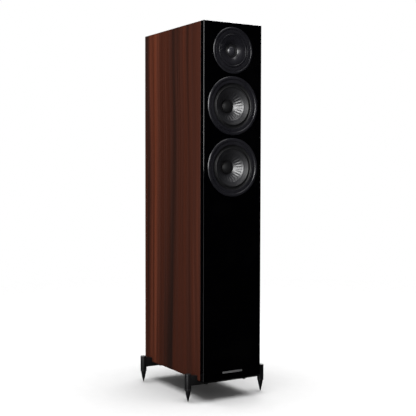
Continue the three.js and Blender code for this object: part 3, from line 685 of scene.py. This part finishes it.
grained_finish("brass", (0.56, 0.36, 0.11), (0.72, 0.50, 0.18), 0.14, 0.26, 0.002, 0.00001, Metallic=1.0)
grained_finish(
    "red_plastic", (0.26, 0.010, 0.010), (0.36, 0.018, 0.016), 0.16, 0.28, 0.0012, 0.00001, 0.4,
    (0.5, 0.06, 0.05),
)
grained_finish(
    "black_plastic", (0.009, 0.009, 0.0105), (0.015, 0.015, 0.017), 0.34, 0.50, 0.0007, 0.00006, 0.4,
    (0.05, 0.05, 0.055),
)
grained_finish("capacitor_film", (0.22, 0.012, 0.009), (0.32, 0.022, 0.014), 0.20, 0.34, 0.006, 0.00005)
grained_finish("ceramic", (0.62, 0.60, 0.55), (0.76, 0.75, 0.70), 0.70, 0.85, 0.0009, 0.00008)
grained_finish("foam", (0.030, 0.030, 0.033), (0.060, 0.060, 0.064), 0.92, 0.99, 0.0016, 0.0006)
grained_finish(
    "badge_metal", (0.40, 0.40, 0.41), (0.52, 0.52, 0.53), 0.26, 0.36, 0.0006, 0.00001, Metallic=0.9,
)
grained_finish(
    "satin_black_metal", (0.0030, 0.0030, 0.0033), (0.0055, 0.0055, 0.0060), 0.30, 0.42, 0.0009, 0.00004,
    0.45, (0.09, 0.09, 0.095), Metallic=0.3,
)
grained_finish("wire_sheath", (0.030, 0.0045, 0.0045), (0.055, 0.009, 0.008), 0.34, 0.48, 0.002, 0.00003)

for row in frame["record"]["subparts"]:
    cad_piece = nodes[row["node"]]
    cad_piece.data.materials.clear()
    cad_piece.data.materials.append(materials[row["material_slot"]])


# ---- Cabinet ----

WALL = 15 * MM
HALF_WIDTH = baffle_high.x
walls_low_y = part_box("side_panel_left")[0].y
cabinet_low_z = baffle_low.z
cabinet_high_z = baffle_high.z
CORNER = 0.8 * MM
NEAR = 1e-5
PAST = 20 * MM  # how far a cutter reaches out of the board it cuts


def wrap_board(half_length):
    """A wall's outline along its length, outer face at zero, with the rounding of the closed mitres."""
    right = arc((half_length - CORNER, -CORNER), CORNER, 90, 45, 4)
    left = [(-x, y) for x, y in reversed(right)]
    inner = half_length - WALL
    return left + right + [(inner, -WALL), (-inner, -WALL)]


def make_walls():
    half_height = (cabinet_high_z - cabinet_low_z) / 2
    middle_z = (cabinet_high_z + cabinet_low_z) / 2
    for name, half_length, distance, turn in (
        ("top_panel", HALF_WIDTH, half_height, 0),
        ("bottom_panel", HALF_WIDTH, half_height, 180),
        ("side_panel_left", half_height, HALF_WIDTH, 90),
        ("side_panel_right", half_height, HALF_WIDTH, -90),
    ):
        place = Matrix.Rotation(math.radians(turn), 2)
        outline = []
        for along, out in wrap_board(half_length):
            turned_point = place @ Vector((along, out + distance))
            outline.append((turned_point.x, turned_point.y + middle_z))
        board = drawn_board(f"{name}_wrapped", outline, walls_low_y, REAR_Y)
        edit()
        pick("FACE", lambda point: abs(point.y - walls_low_y) < 1e-5)
        bpy.ops.mesh.bevel(offset=0.6 * MM, segments=3)
        pick("FACE", lambda point: abs(point.y - REAR_Y) < 1e-5)
        bpy.ops.mesh.bevel(offset=0.6 * MM, segments=3)
        edit(False)
        finished(board, "wood_wrap", stands_for=[name], flat_faces=True)


def round_cutter(radius, centre_z, low_y, high_y):
    """A plug along Y between two depths, to cut a round hole or rebate."""
    length = (high_y - low_y) / MM
    outline = [(0, 0), (radius, 0), (radius, length), (0, length)]
    return turned("cutter", outline, Vector((0, low_y, centre_z)), 128, closed=False)


def pick_edges(test):
    """In edit mode, selects the edges whose two corners pass the test together."""
    bpy.ops.mesh.select_mode(type="EDGE")
    bpy.ops.mesh.select_all(action="DESELECT")
    mesh = bmesh.from_edit_mesh(bpy.context.edit_object.data)
    for edge in mesh.edges:
        edge.select = test(edge.verts[0].co, edge.verts[1].co)
    bmesh.update_edit_mesh(bpy.context.edit_object.data)


def make_baffle():
    """The lacquered front: a board with rounded long edges and a stepped hole for each driver."""
    def is_long_front_edge(first, second):
        on_face = max(first.y, second.y) < FACE_Y + NEAR
        return on_face and abs(first.x - second.x) < NEAR

    board = block("front_baffle_lacquered", baffle_low, baffle_high)
    edit()
    pick_edges(is_long_front_edge)
    bpy.ops.mesh.bevel(offset=2.2 * MM, segments=8)
    edit(False)
    softened(board, 0.5, 2, 60)
    for centre_z, rim, seat, depth in (
        (tweeter_z, 61.25, 40, 3.9), (upper_z, 77.8, 70.5, 4.5), (lower_z, 77.8, 70.5, 4.5),
    ):
        rebate = round_cutter(rim, centre_z, FACE_Y - PAST, FACE_Y + depth * MM)
        combined(board, rebate, "DIFFERENCE")
        hole = round_cutter(seat, centre_z, FACE_Y - PAST, FACE_Y + 2 * PAST)
        combined(board, hole, "DIFFERENCE")
    finished(board, "gloss_black", stands_for=["front_baffle"], flat_faces=True)


def make_back():
    """The back panel, with a rebate and a hole for the port and for the terminal cup."""
    low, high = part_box("back_panel")
    board = block("back_panel_textured", low, high)
    softened(board, 0.5, 2, 60)
    rebate_y = high.y - 2.5 * MM
    port = middle_of("reflex_port")
    combined(board, round_cutter(46.3, port.z, rebate_y, high.y + PAST), "DIFFERENCE")
    combined(board, round_cutter(32.3, port.z, low.y - PAST, high.y + PAST), "DIFFERENCE")
    cup_low, cup_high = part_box("terminal_cup")
    gap = 0.3 * MM
    rebate = block(
        "cutter", (cup_low.x - gap, rebate_y, cup_low.z - gap),
        (cup_high.x + gap, high.y + PAST, cup_high.z + gap),
    )
    combined(board, round_upright_corners(rebate, 9.3), "DIFFERENCE")
    rim = 8.7 * MM
    hole = block(
        "cutter", (cup_low.x + rim, low.y - PAST, cup_low.z + rim),
        (cup_high.x - rim, high.y + PAST, cup_high.z - rim),
    )
    combined(board, hole, "DIFFERENCE")
    finished(board, "black_board", stands_for=["back_panel"], flat_faces=True)


def round_upright_corners(piece, radius):
    """Rounds the four edges of a block that run along Y."""
    only(piece)
    edit()
    pick_edges(lambda first, second: abs(first.y - second.y) > 1e-5 and abs(first.x - second.x) < 1e-6)
    bpy.ops.mesh.bevel(offset=radius * MM, segments=8)
    edit(False)
    return piece


def make_badge():
    low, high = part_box("badge_bar")
    bar = block("badge_bar_plate", low, high)
    round_upright_corners(bar, 2.2)
    softened(bar, 0.25, 2, 50)
    finished(bar, "badge_metal", stands_for=["badge_bar"])


# ---- Woofers ----

def woofer_centre(z):
    return Vector((0, FACE_Y, z))


cone_bend = (39.0, 8.8)
cone_neck = (13.4, 33.0)
cone_edge = (49.7, 2.6)


def cone_depth_at(radius):
    if radius > cone_bend[0]:
        share = (cone_edge[0] - radius) / (cone_edge[0] - cone_bend[0])
        return cone_edge[1] + share * (cone_bend[1] - cone_edge[1])
    share = (cone_bend[0] - radius) / (cone_bend[0] - cone_neck[0])
    return cone_bend[1] + share * (cone_neck[1] - cone_bend[1])


def make_trim_ring(centre):
    outline = [(60.2, 0.6), (60.2, -0.3, 0.4), (67.6, -0.3, 0.15), (67.9, 0.45, 0.2), (68.5, 0.45, 0.2)]
    outline += [(68.7, -0.3), (69.2, -1.35), (70.0, -2.05), (71.0, -2.4), (72.0, -2.5), (73.2, -2.42)]
    outline += [(74.5, -2.1), (75.7, -1.55), (76.6, -0.85), (77.2, -0.1), (77.5, 0.6), (77.5, 1.7)]
    outline += [(65.8, 1.7), (65.8, 0.6)]
    return turned("woofer_upper_trim_ring_moulded", outline, centre, 144)


def make_surround(centre):
    """The inverted half roll, from its clamped outer lip to the lip glued on the cone."""
    front = []
    steps = 14
    for step in range(steps + 1):
        angle = math.pi * step / steps
        along = (1 - math.cos(angle)) / 2
        level = 0.9 + along * 0.7
        front.append((60.0 - along * 8.8, level + math.sin(angle) ** 0.7 * 5.2))
    inner = [(50.7, 1.15), (50.1, 1.05), (49.5, 1.25), (48.9, 1.8)]
    inner += [(48.2, cone_depth_at(48.2) - 0.6), (47.4, cone_depth_at(47.4) - 0.1)]
    front = [(65.5, 0.9)] + front + inner
    back = [(radius, depth + 0.75) for radius, depth in reversed(front[:-1])]
    return turned("woofer_upper_surround_roll", front + back, centre, 128)


RIBS = 24


def make_cone(centre):
    """One rib and its share of the cone, spun a 24th of a turn, then repeated round the axis."""
    front = [cone_edge]
    for radius in (47.5, 45, 42.5, 40.6, 39.6, 38.6, 37.4, 36, 34.4, 32.8, 31, 29, 27, 25, 23, 21, 19, 16.5):
        front.append((radius, cone_depth_at(radius) - (0.22 if 38.2 < radius < 40 else 0)))
    front.append(cone_neck)
    back = [(radius, depth + 1.0) for radius, depth in reversed(front)]
    segments = 10
    sector = turned("woofer_upper_cone_ribbed", front + back, centre, segments, angle=FULL_TURN / RIBS)
    edit()
    middle_turn = FULL_TURN / RIBS / 2

    def on_rib(point):
        across, upward = point.x - centre.x, point.z - centre.z
        radius = math.hypot(across, upward)
        around = abs(math.atan2(upward, across))
        return abs(around - middle_turn) < 0.004 and 23.5 * MM < radius < 34.5 * MM

    pick("VERT", on_rib)
    bpy.ops.transform.translate(
        value=(0, -0.9 * MM, 0), use_proportional_edit=True, proportional_size=3.1 * MM,
        proportional_edit_falloff="SMOOTH", use_proportional_connected=True,
    )
    bpy.ops.mesh.select_all(action="SELECT")
    bpy.ops.mesh.spin(
        steps=RIBS - 1, angle=FULL_TURN * (RIBS - 1) / RIBS, center=centre, axis=(0, 1, 0), dupli=True,
    )
    remove_seams()
    edit(False)
    return sector


def remove_seams():
    """In edit mode, merges repeated sectors of a round piece into one skin."""
    bpy.ops.mesh.select_mode(type="VERT")
    bpy.ops.mesh.select_all(action="SELECT")
    bpy.ops.mesh.remove_doubles(threshold=0.05 * MM)
    bpy.ops.mesh.normals_make_consistent(inside=False)


def make_dust_cap(centre):
    edge_depth = cone_depth_at(17.3) - 1.2
    front = [(0, edge_depth - 6.6)]
    for radius in (2, 4, 6, 8, 10, 12, 13.6, 15, 16):
        front.append((radius, edge_depth - 6.6 * (1 - (radius / 17.3) ** 2.3)))
    front += [(16.9, edge_depth - 0.2), (17.4, cone_depth_at(17.4) - 0.25), (18.6, cone_depth_at(18.6) - 0.3)]
    front += [(18.9, cone_depth_at(18.9) + 0.02)]
    back = [(18.4, cone_depth_at(18.4) + 0.1), (16.6, edge_depth + 0.9), (12, edge_depth - 2.6)]
    back += [(6, edge_depth - 4.9), (0, edge_depth - 5.7)]
    return turned("woofer_upper_dust_cap_domed", front + back, centre, 96, closed=False)


def flexible(piece, slot, diaphragm, centre, reach, stands_for):
    """A ring whose outer edge stays with the cabinet and whose inner edge goes with the diaphragm."""
    shaded(piece, 60)
    piece.data.materials.append(materials[slot])
    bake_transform(piece, "cabinet", diaphragm, start=centre, end=centre + Vector((0, -0.01, 0)))
    weights = piece.data.attributes["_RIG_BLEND"].data
    outer, inner = reach
    for vertex, weight in zip(piece.data.vertices, weights):
        radius = math.hypot(vertex.co.x - centre.x, vertex.co.z - centre.z) / MM
        share = min(max((outer - radius) / (outer - inner), 0), 1)
        weight.value = share * share * (3 - 2 * share)
    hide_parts(stands_for)


def make_spider(centre):
    """The corrugated cloth disc that centres the coil: rings of waves between the coil and a flat rim."""
    front = [(13.3, 42.5), (14.2, 42.6)]
    waves = 5
    steps = waves * 8
    for step in range(steps + 1):
        share = step / steps
        front.append((14.6 + share * 19.6, 42.8 - 1.0 * math.sin(share * waves * FULL_TURN)))
    front += [(35.2, 43.6), (35.9, 44.9), (36.6, 45.4), (39.5, 45.4)]
    back = [(radius, depth + 0.55) for radius, depth in reversed(front)]
    return turned("woofer_upper_spider_waved", front + back, centre, 96)


def make_woofers():
    upper = woofer_centre(upper_z)
    ring = make_trim_ring(upper)
    roll = make_surround(upper)
    cone = make_cone(upper)
    cap = make_dust_cap(upper)
    spider = make_spider(upper)
    drop = Vector((0, 0, lower_z - upper_z))
    for prefix, offset in (("woofer_upper", None), ("woofer_lower", drop)):
        parts = {"trim_ring": ring, "surround": roll, "cone": cone, "dust_cap": cap, "spider": spider}
        if offset:
            parts = {
                kind: copied(piece, piece.name.replace("woofer_upper", prefix), offset)
                for kind, piece in parts.items()
            }
        diaphragm = f"{prefix}_diaphragm"
        finished(parts["trim_ring"], "driver_grey", stands_for=[f"{prefix}_trim_ring"], angle=38)
        finished(parts["cone"], "cone_polymer", diaphragm, [f"{prefix}_cone"], angle=50)
        finished(parts["dust_cap"], "rubber", diaphragm, [f"{prefix}_dust_cap"], angle=45)
        centre = upper + (offset or Vector())
        flexible(parts["surround"], "rubber", diaphragm, centre, (60.0, 50.2), f"{prefix}_surround")
        flexible(parts["spider"], "spider_cloth", diaphragm, centre, (35.5, 14.2), f"{prefix}_spider")


# ---- Tweeter ----

def make_tweeter():
    centre = Vector((0, FACE_Y, tweeter_z))
    outline = [(61.0, 3.6), (61.0, 0.5), (60.7, -0.1), (60.0, -0.75), (58.9, -1.35), (57.6, -1.65)]
    outline += [(56.4, -1.6), (55.4, -1.2), (54.9, -0.5), (54.7, 1.1), (53.5, 1.1), (53.3, -0.5, 0.3)]
    outline += [(45.2, -0.5, 0.3), (44.9, 1.2), (43.3, 1.2), (43.1, -0.5), (42.5, -1.0), (41.5, -1.25)]
    outline += [(40.3, -1.25), (39.3, -0.9), (38.6, -0.3), (38.4, 1.0), (37.1, 1.0), (36.9, -0.35, 0.2)]
    outline += [(34.4, -0.35, 0.1), (34.2, 0.3, 0.1), (33.7, 0.3, 0.1)]
    steps = 12
    for step in range(steps + 1):
        share = step / steps
        outline.append((33.5 - share * 15.6, -0.35 + 7.6 * share ** 1.75))
    outline += [(17.5, 7.7), (17.5, 9.3), (24.0, 9.3), (27.6, 3.6)]
    plate = turned("tweeter_faceplate_moulded", outline, centre, 144)
    finished(plate, "driver_grey", stands_for=["tweeter_faceplate"], angle=38)

    apex = 9.0 - 0.5 - 6.6
    rise = 6.6
    radius = (12.7 ** 2 + rise ** 2) / (2 * rise)
    front = []
    for step in range(13):
        angle = math.asin(12.7 / radius) * step / 12
        front.append((radius * math.sin(angle), apex + radius * (1 - math.cos(angle))))
    back = [(point[0] * 0.965, point[1] + 0.5) for point in reversed(front)]
    dome = turned("tweeter_dome_skin", front + back, centre, 80, closed=False)
    finished(dome, "soft_dome", "tweeter_diaphragm", ["tweeter_dome"], angle=60)

    roll = []
    for step in range(11):
        share = step / 10
        roll.append((12.75 + share * 4.4, 9.0 - 1.5 * math.sin(share * math.pi) ** 0.8))
    line = roll + [(20.6, 9.05)]
    thick = line + [(point[0], point[1] + 0.45) for point in reversed(line)]
    surround = turned("tweeter_surround_roll", thick, centre, 80)
    flexible(surround, "rubber", "tweeter_diaphragm", centre, (17.2, 12.9), "tweeter_surround")


# ---- Rear: reflex port and terminals ----

def make_port():
    """A tube that flares out in a quarter ellipse to a flange let into the back."""
    tube_radius, flare_width, flare_depth, steps = 29, 12, 16, 12
    centre = Vector((0, REAR_Y, middle_of("reflex_port").z))
    inner_end = (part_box("reflex_port")[0].y - REAR_Y) / MM
    outline = [(tube_radius, inner_end, 0.6)]
    for step in range(steps + 1):
        angle = math.pi / 2 * step / steps
        level = flare_depth * (math.sin(angle) - 1) - (0.15 if step == steps else 0)
        outline.append((tube_radius + flare_width * (1 - math.cos(angle)), level))
    outline += [(42.2, 0.0), (46.0, 0.0, 0.7), (46.0, -2.2), (32.0, -2.2), (32.0, inner_end)]
    port_tube = turned("reflex_port_flared", outline, centre, 128)
    finished(port_tube, "black_plastic", stands_for=["reflex_port"], angle=35)


CUP_FLOOR = 2.5 * MM


def make_terminal_cup():
    """A flanged tray sunk into the back, with a seat moulded round each post."""
    low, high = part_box("terminal_cup")
    cup = block("terminal_cup_moulded", (low.x, REAR_Y - 2.2 * MM, low.z), high)
    round_upright_corners(cup, 9)
    rim = 9 * MM
    body = block(
        "cup_body", (low.x + rim, low.y, low.z + rim), (high.x - rim, REAR_Y - MM, high.z - rim),
    )
    combined(cup, body, "UNION")
    wall = 11.5 * MM
    floor_y = low.y + CUP_FLOOR
    hollow = block(
        "cup_hollow", (low.x + wall, floor_y, low.z + wall),
        (high.x - wall, REAR_Y + 10 * MM, high.z - wall),
    )
    round_upright_corners(hollow, 6)
    combined(cup, hollow, "DIFFERENCE")
    softened(cup, 0.7, 3, 50)
    seat_line = [(0, -0.4), (11.2, -0.4), (11.2, 0.25, 0.25), (8.6, 0.25, 0.2), (8.6, -0.1), (0, -0.1)]
    for colour in ("black", "red"):
        post = middle_of(f"binding_post_{colour}")
        seat = turned("post_seat", seat_line, Vector((post.x, floor_y, post.z)), 64, closed=False)
        combined(cup, seat, "UNION")
    finished(cup, "black_plastic", stands_for=["terminal_cup"])
    make_polarity_marks(floor_y, (low.z + high.z) / 2)


def make_polarity_marks(floor_y, middle_z):
    """A raised plus above the red post and a minus above the black one."""
    half_long, half_short = 2.5 * MM, 0.55 * MM
    low_y, high_y = floor_y - 0.1 * MM, floor_y + 0.45 * MM
    z = middle_z + 17.5 * MM
    for name, x in (("polarity_plus", 19 * MM), ("polarity_minus", -19 * MM)):
        mark = block(
            name, (x - half_long, low_y, z - half_short), (x + half_long, high_y, z + half_short),
        )
        if name == "polarity_plus":
            upright = block(
                "stroke", (x - half_short, low_y, z - half_long), (x + half_short, high_y, z + half_long),
            )
            combined(mark, upright, "UNION")
        softened(mark, 0.12, 2, 50)
        finished(mark, "badge_metal")


def screw_head(name, centre, radius, slot):
    """A pan head with a cross recess, facing +Y."""
    rise = radius / 3
    outline = [(0, 0.95 * rise), (0.55 * radius, 0.85 * rise), (0.9 * radius, 0.45 * rise), (radius, 0)]
    outline += [(radius, -0.4), (0, -0.4)]
    head = turned(name, outline, centre, 40, closed=False)
    arm, slim = 0.62 * radius * MM, 0.13 * radius * MM
    for wide, tall in ((arm, slim), (slim, arm)):
        cutter = block(
            "recess", (centre.x - wide, centre.y - 0.1 * MM, centre.z - tall),
            (centre.x + wide, centre.y + 1.6 * MM, centre.z + tall),
        )
        combined(head, cutter, "DIFFERENCE")
    softened(head, 0.08, 2, 50)
    finished(head, slot)
    return head


def repeated(fastener, stem, places):
    """Copies a fastener from the first of the places to each of the others."""
    for number, place in enumerate(places[1:], 2):
        twin = copied(fastener, f"{stem}_{number}", place - places[0])
        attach(twin, "cabinet")


def make_cup_screws():
    low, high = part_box("terminal_cup")
    inset = 5.4 * MM
    columns = (low.x + inset, high.x - inset)
    rows = (low.z + inset, high.z - inset)
    places = [Vector((x, REAR_Y, z)) for z in rows for x in columns]
    head = screw_head("cup_screw_1", places[0], 2.9, "satin_black_metal")
    repeated(head, "cup_screw", places)


def thread(radius, start, end, pitch, depth):
    """The outline of a thread's roots and crests between two heights."""
    points = []
    for index in range(int((end - start) / pitch)):
        level = start + index * pitch
        points += [(radius - depth, level), (radius - depth, level + 0.15 * pitch)]
        points += [(radius, level + 0.45 * pitch), (radius, level + 0.6 * pitch)]
    return points


def ring_of_cutters(centre, ring_radius, outline, steps, upright=False):
    """Twelve equal round cutters in a ring about a centre, joined into one."""
    cutters = []
    for index in range(12):
        around = FULL_TURN * index / 12
        across, along = math.cos(around), math.sin(around)
        away = Vector((across, along, 0)) if upright else Vector((across, 0, along))
        place = centre + away * ring_radius * MM
        cutters.append(turned("cutter", outline, place, steps, upright=upright, closed=False))
    return joined(cutters, "cutters")


def make_post(centre):
    """A flanged brass post with a threaded shank. Depths are from the cup's floor, outwards."""
    outline = [(0, -11.5), (3.0, -11.5, 0.4), (3.0, 0.3), (8.0, 0.3, 0.3), (8.0, 3.3, 0.5), (5.0, 3.3)]
    outline += [(4.8, 3.1), (3.2, 3.1)] + thread(3.0, 3.4, 17.6, 0.8, 0.35)
    outline += [(2.8, 17.9), (2.4, 18.3), (0, 18.3)]
    return turned("binding_post_red_threaded", outline, centre, 48, closed=False)


def make_knob(centre):
    """A cap with a stepped bore for the insert, a dished end and twelve flutes."""
    bore = [(0, 18.7), (3.3, 18.7), (3.3, 16.0), (4.9, 16.0), (4.9, 3.7)]
    skirt = [(6.6, 3.7, 0.3), (7.6, 4.3, 0.4), (8.5, 5.4, 0.6), (8.5, 20.6, 0.9)]
    end = [(7.3, 22.6, 0.9), (5.2, 22.6, 0.3), (4.9, 21.9, 0.3), (0, 21.9)]
    knob = turned("knob_red_fluted", bore + skirt + end, centre, 96, closed=False)
    flutes = ring_of_cutters(centre, 9.3, [(0, 5.9), (1.5, 5.9, 0.6), (1.5, 30), (0, 30)], 20)
    return combined(knob, flutes, "DIFFERENCE")


def make_binding_posts():
    """The red post, insert and knob are modelled, and the black ones copied."""
    red = middle_of("binding_post_red")
    black = middle_of("binding_post_black")
    centre = Vector((red.x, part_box("terminal_cup")[0].y + CUP_FLOOR, red.z))
    shift = Vector((black.x - red.x, 0, 0))
    post = make_post(centre)
    insert_line = [(3.3, 3.6, 0.3), (4.6, 3.6, 0.3), (4.6, 15.6), (3.3, 15.6)]
    insert = turned("knob_insert_red_turned", insert_line, centre, 48)
    knob = make_knob(centre)
    for colour, offset, plastic in (("red", None, "red_plastic"), ("black", shift, "black_plastic")):
        own = [post, insert, knob]
        if offset:
            own = [copied(piece, piece.name.replace("red", colour), offset) for piece in own]
        finished(own[0], "brass", "cabinet", [f"binding_post_{colour}"], angle=30)
        finished(own[1], "brass", f"knob_insert_{colour}", [f"knob_insert_{colour}"], angle=30)
        finished(own[2], plastic, f"knob_{colour}", [f"knob_{colour}"], angle=35)


# ---- Feet ----

BAR_LOW, BAR_HIGH, WING_HIGH = 43.5, 56.1, 69.0
BOSS_LOW, BOSS_HIGH, BOSS_RADIUS = 34.6, 74.5, 8.75
RING_LOW, RING_HIGH = 31.3, 34.3


def upright_cutter(centre, radius, low, high, steps):
    """A plug along Z between two heights. With six steps it cuts a hexagon socket."""
    outline = [(0, low), (radius, low), (radius, high), (0, high)]
    return turned("cutter", outline, centre, steps, upright=True, closed=False)


def make_outrigger(spike_x, middle_y):
    """A flat bar under the cabinet, a wing up each side of it, and a boss for each spike."""
    low, high, wing_high = BAR_LOW * MM, BAR_HIGH * MM, WING_HIGH * MM
    wing_x = HALF_WIDTH + 0.8 * MM
    half_depth = 7 * MM
    outline = [
        (-spike_x, low), (spike_x, low), (spike_x, wing_high), (wing_x, wing_high), (wing_x, high),
        (-wing_x, high), (-wing_x, wing_high), (-spike_x, wing_high),
    ]
    bar = drawn_board("outrigger_front_welded", outline, middle_y - half_depth, middle_y + half_depth)
    softened(bar, 1.1, 3, 60)
    boss_line = [(0, BOSS_LOW), (BOSS_RADIUS, BOSS_LOW, 0.7), (BOSS_RADIUS, BOSS_HIGH, 1.3), (0, BOSS_HIGH)]
    for side in (-1, 1):
        place = Vector((side * spike_x, middle_y, 0))
        combined(bar, turned("boss", boss_line, place, 72, upright=True, closed=False), "UNION")
        combined(bar, upright_cutter(place, 4.3, 20, 63.6, 48), "DIFFERENCE")
        combined(bar, upright_cutter(place, 3.2, BOSS_HIGH - 1.2, 80, 6), "DIFFERENCE")
    return bar


def make_lock_ring(centre):
    outline = [(4.3, RING_LOW, 0.3), (BOSS_RADIUS, RING_LOW, 0.45), (BOSS_RADIUS, RING_HIGH, 0.45)]
    outline += [(4.3, RING_HIGH, 0.3)]
    ring = turned("lock_ring_front_left_turned", outline, centre, 72, upright=True)
    notches = ring_of_cutters(centre, 9.15, [(0, 30), (0.8, 30), (0.8, 36), (0, 36)], 12, upright=True)
    return combined(ring, notches, "DIFFERENCE")


def make_spike(centre):
    """A point with slightly bowed sides and a threaded shank above it."""
    outline = [(0, 0), (0.45, 0.05), (0.75, 0.6), (1.5, 3.2), (2.7, 7.5), (3.85, 12.0), (4.95, 17.0)]
    outline += [(5.9, 22.0), (6.75, 27.0), (7.15, 29.3), (7.3, 30.2), (7.3, 31.0, 0.25), (4.0, 31.0)]
    outline += thread(4.0, 31.6, 58.4, 1.25, 0.45) + [(3.6, 58.9), (3.1, 59.6), (0, 59.6)]
    return turned("spike_front_left_turned", outline, centre, 64, upright=True, closed=False)


def make_feet():
    """The front bar and its left-hand ring and spike are modelled, and the others copied."""
    spike = middle_of("spike_front_left")
    bar = make_outrigger(-spike.x, spike.y)
    to_rear = Vector((0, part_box("outrigger_rear")[0].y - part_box("outrigger_front")[0].y, 0))
    rear_bar = copied(bar, "outrigger_rear_welded", to_rear)
    finished(bar, "satin_black_metal", stands_for=["outrigger_front"], angle=30)
    finished(rear_bar, "satin_black_metal", stands_for=["outrigger_rear"], angle=30)

    corner = Vector((spike.x, spike.y, 0))
    modelled = [make_lock_ring(corner), make_spike(corner)]
    for row, along in (("front", Vector()), ("rear", to_rear)):
        for side, across in (("left", 0.0), ("right", -2 * spike.x)):
            offset = along + Vector((across, 0, 0))
            corner_name = f"{row}_{side}"
            own = modelled
            if offset.length > 0:
                own = [
                    copied(piece, piece.name.replace("front_left", corner_name), offset)
                    for piece in modelled
                ]
            for piece, stem in zip(own, ("lock_ring", "spike")):
                body = f"{stem}_{corner_name}"
                finished(piece, "satin_black_metal", body, [body], angle=30)


def make_foot_bolts():
    """Socket-head screws that hold the outriggers to the underside."""
    rows = (middle_of("outrigger_front").y, middle_of("outrigger_rear").y)
    places = [Vector((x, y, 0)) for y in rows for x in (-60 * MM, 60 * MM)]
    outline = [(0, BAR_LOW - 2.6), (5.2, BAR_LOW - 2.6, 0.6), (5.6, BAR_LOW + 0.2), (0, BAR_LOW + 0.2)]
    head = turned("foot_bolt_1", outline, places[0], 48, upright=True, closed=False)
    combined(head, upright_cutter(places[0], 2.6, BAR_LOW - 6, BAR_LOW - 0.8, 6), "DIFFERENCE")
    finished(head, "steel")
    repeated(head, "foot_bolt", places)


# ---- Camera, floor and lights ----

def make_camera():
    camera = bpy.data.objects.new("camera", bpy.data.cameras.new("camera"))
    bpy.context.scene.collection.objects.link(camera)
    camera.data.sensor_width = 36
    camera.data.lens = 74.9
    camera.location = (-1.2344, -2.0906, 0.6083)
    yaw, pitch, roll = (math.radians(value) for value in (31.025, -2.446, -0.12))
    tilted = Matrix.Rotation(math.pi / 2 + pitch, 4, "X") @ Matrix.Rotation(-roll, 4, "Z")
    camera.rotation_mode = "XYZ"
    camera.rotation_euler = (Matrix.Rotation(-yaw, 4, "Z") @ tilted).to_euler()
    bpy.context.scene.camera = camera


LIT_POINT = Vector((0, -0.1, 0.62))


def softbox(name, azimuth, elevation, distance, width, height, power):
    """A rectangular light, aimed at the cabinet. Azimuth 0 is in front and 90 on the right."""
    light = bpy.data.lights.new(name, "AREA")
    light.shape = "RECTANGLE"
    light.size, light.size_y = width, height
    light.energy = power
    lamp = bpy.data.objects.new(name, light)
    bpy.context.scene.collection.objects.link(lamp)
    around, up = math.radians(azimuth), math.radians(elevation)
    away = Vector((math.sin(around) * math.cos(up), -math.cos(around) * math.cos(up), math.sin(up)))
    lamp.location = LIT_POINT + away * distance
    lamp.rotation_euler = away.to_track_quat("Z", "Y").to_euler()
    lamp.visible_camera = False
    return lamp


def only_floor(name, floor, state):
    """A light-linking collection that holds just the floor."""
    collection = bpy.data.collections.new(name)
    collection.objects.link(floor)
    collection.collection_objects[0].light_linking.link_state = state
    return collection


def make_floor():
    """A pale floor that fades out with distance, and isn't seen from below."""
    deselect_objects()
    bpy.ops.mesh.primitive_plane_add(size=6, location=(0, 0, -0.5 * MM))
    floor = bpy.context.active_object
    floor.name = "studio_floor"
    tree, shader, place = new_finish("studio_floor", Roughness=0.9, Specular_IOR_Level=0.1)
    speckle = noise(tree, place, 30.0, 2.0)
    pale, paler = (0.195, 0.195, 0.195, 1), (0.205, 0.205, 0.205, 1)
    tree.links.new(blended(tree, speckle, pale, paler), shader.inputs["Base Color"])
    away = node(tree, "VectorMath", {"operation": "LENGTH"})
    tree.links.new(place, away.inputs[0])
    near = spread(tree, away.outputs["Value"], 0.9, 2.6, 1.0, 0.0)
    above = calc(tree, "SUBTRACT", 1.0, node(tree, "NewGeometry").outputs["Backfacing"])
    tree.links.new(calc(tree, "MULTIPLY", near, above), shader.inputs["Alpha"])
    floor.data.materials.append(materials["studio_floor"])
    floor.visible_glossy = False
    return floor


def make_world():
    """An even white surround to the camera, dimmer near the horizon as a light."""
    world = bpy.data.worlds.new("studio")
    bpy.context.scene.world = world
    world.use_nodes = True
    sky = world.node_tree
    height = node(sky, "SeparateXYZ", Vector=node(sky, "TexCoord").outputs["Generated"]).outputs["Z"]
    glow = spread(sky, height, 0.0, 0.4, 0.45, 1.1)
    seen = node(sky, "LightPath").outputs["Is Camera Ray"]
    strength = calc(sky, "MAXIMUM", glow, seen)
    sky.nodes["Background"].inputs["Color"].default_value = (1, 1, 1, 1)
    sky.links.new(strength, sky.nodes["Background"].inputs["Strength"])
    world.cycles_visibility.glossy = False
    bpy.context.scene.view_settings.view_transform = "Standard"


def make_lights(floor):
    """Side lights that spare the floor, one overhead light, and one that lights only the floor."""
    side_lights = [
        softbox("key", -58, 20, 2.6, 1.1, 1.9, 105),
        softbox("key_low", -58, -12, 2.6, 0.5, 1.7, 12),
        softbox("camera_fill", -34, 12, 2.8, 0.5, 0.9, 5),
        softbox("rear_right", 150, 25, 2.8, 1.0, 1.4, 30),
        softbox("rear_left", -112, 48, 2.8, 0.8, 0.8, 12),
    ]
    for lamp in side_lights:
        lamp.light_linking.receiver_collection = only_floor("spared_by_side_lights", floor, "EXCLUDE")
    softbox("overhead", 0, 89, 2.2, 1.6, 1.6, 30)
    floor_light = softbox("floor_light", 0, 89.5, 5.0, 7.0, 7.0, 2100)
    floor_light.light_linking.receiver_collection = only_floor("lit_by_floor_light", floor, "INCLUDE")


make_walls()
make_baffle()
make_back()
make_badge()
make_woofers()
make_tweeter()
make_port()
make_terminal_cup()
make_cup_screws()
make_binding_posts()
make_feet()
make_foot_bolts()
make_camera()
make_world()
make_lights(make_floor())
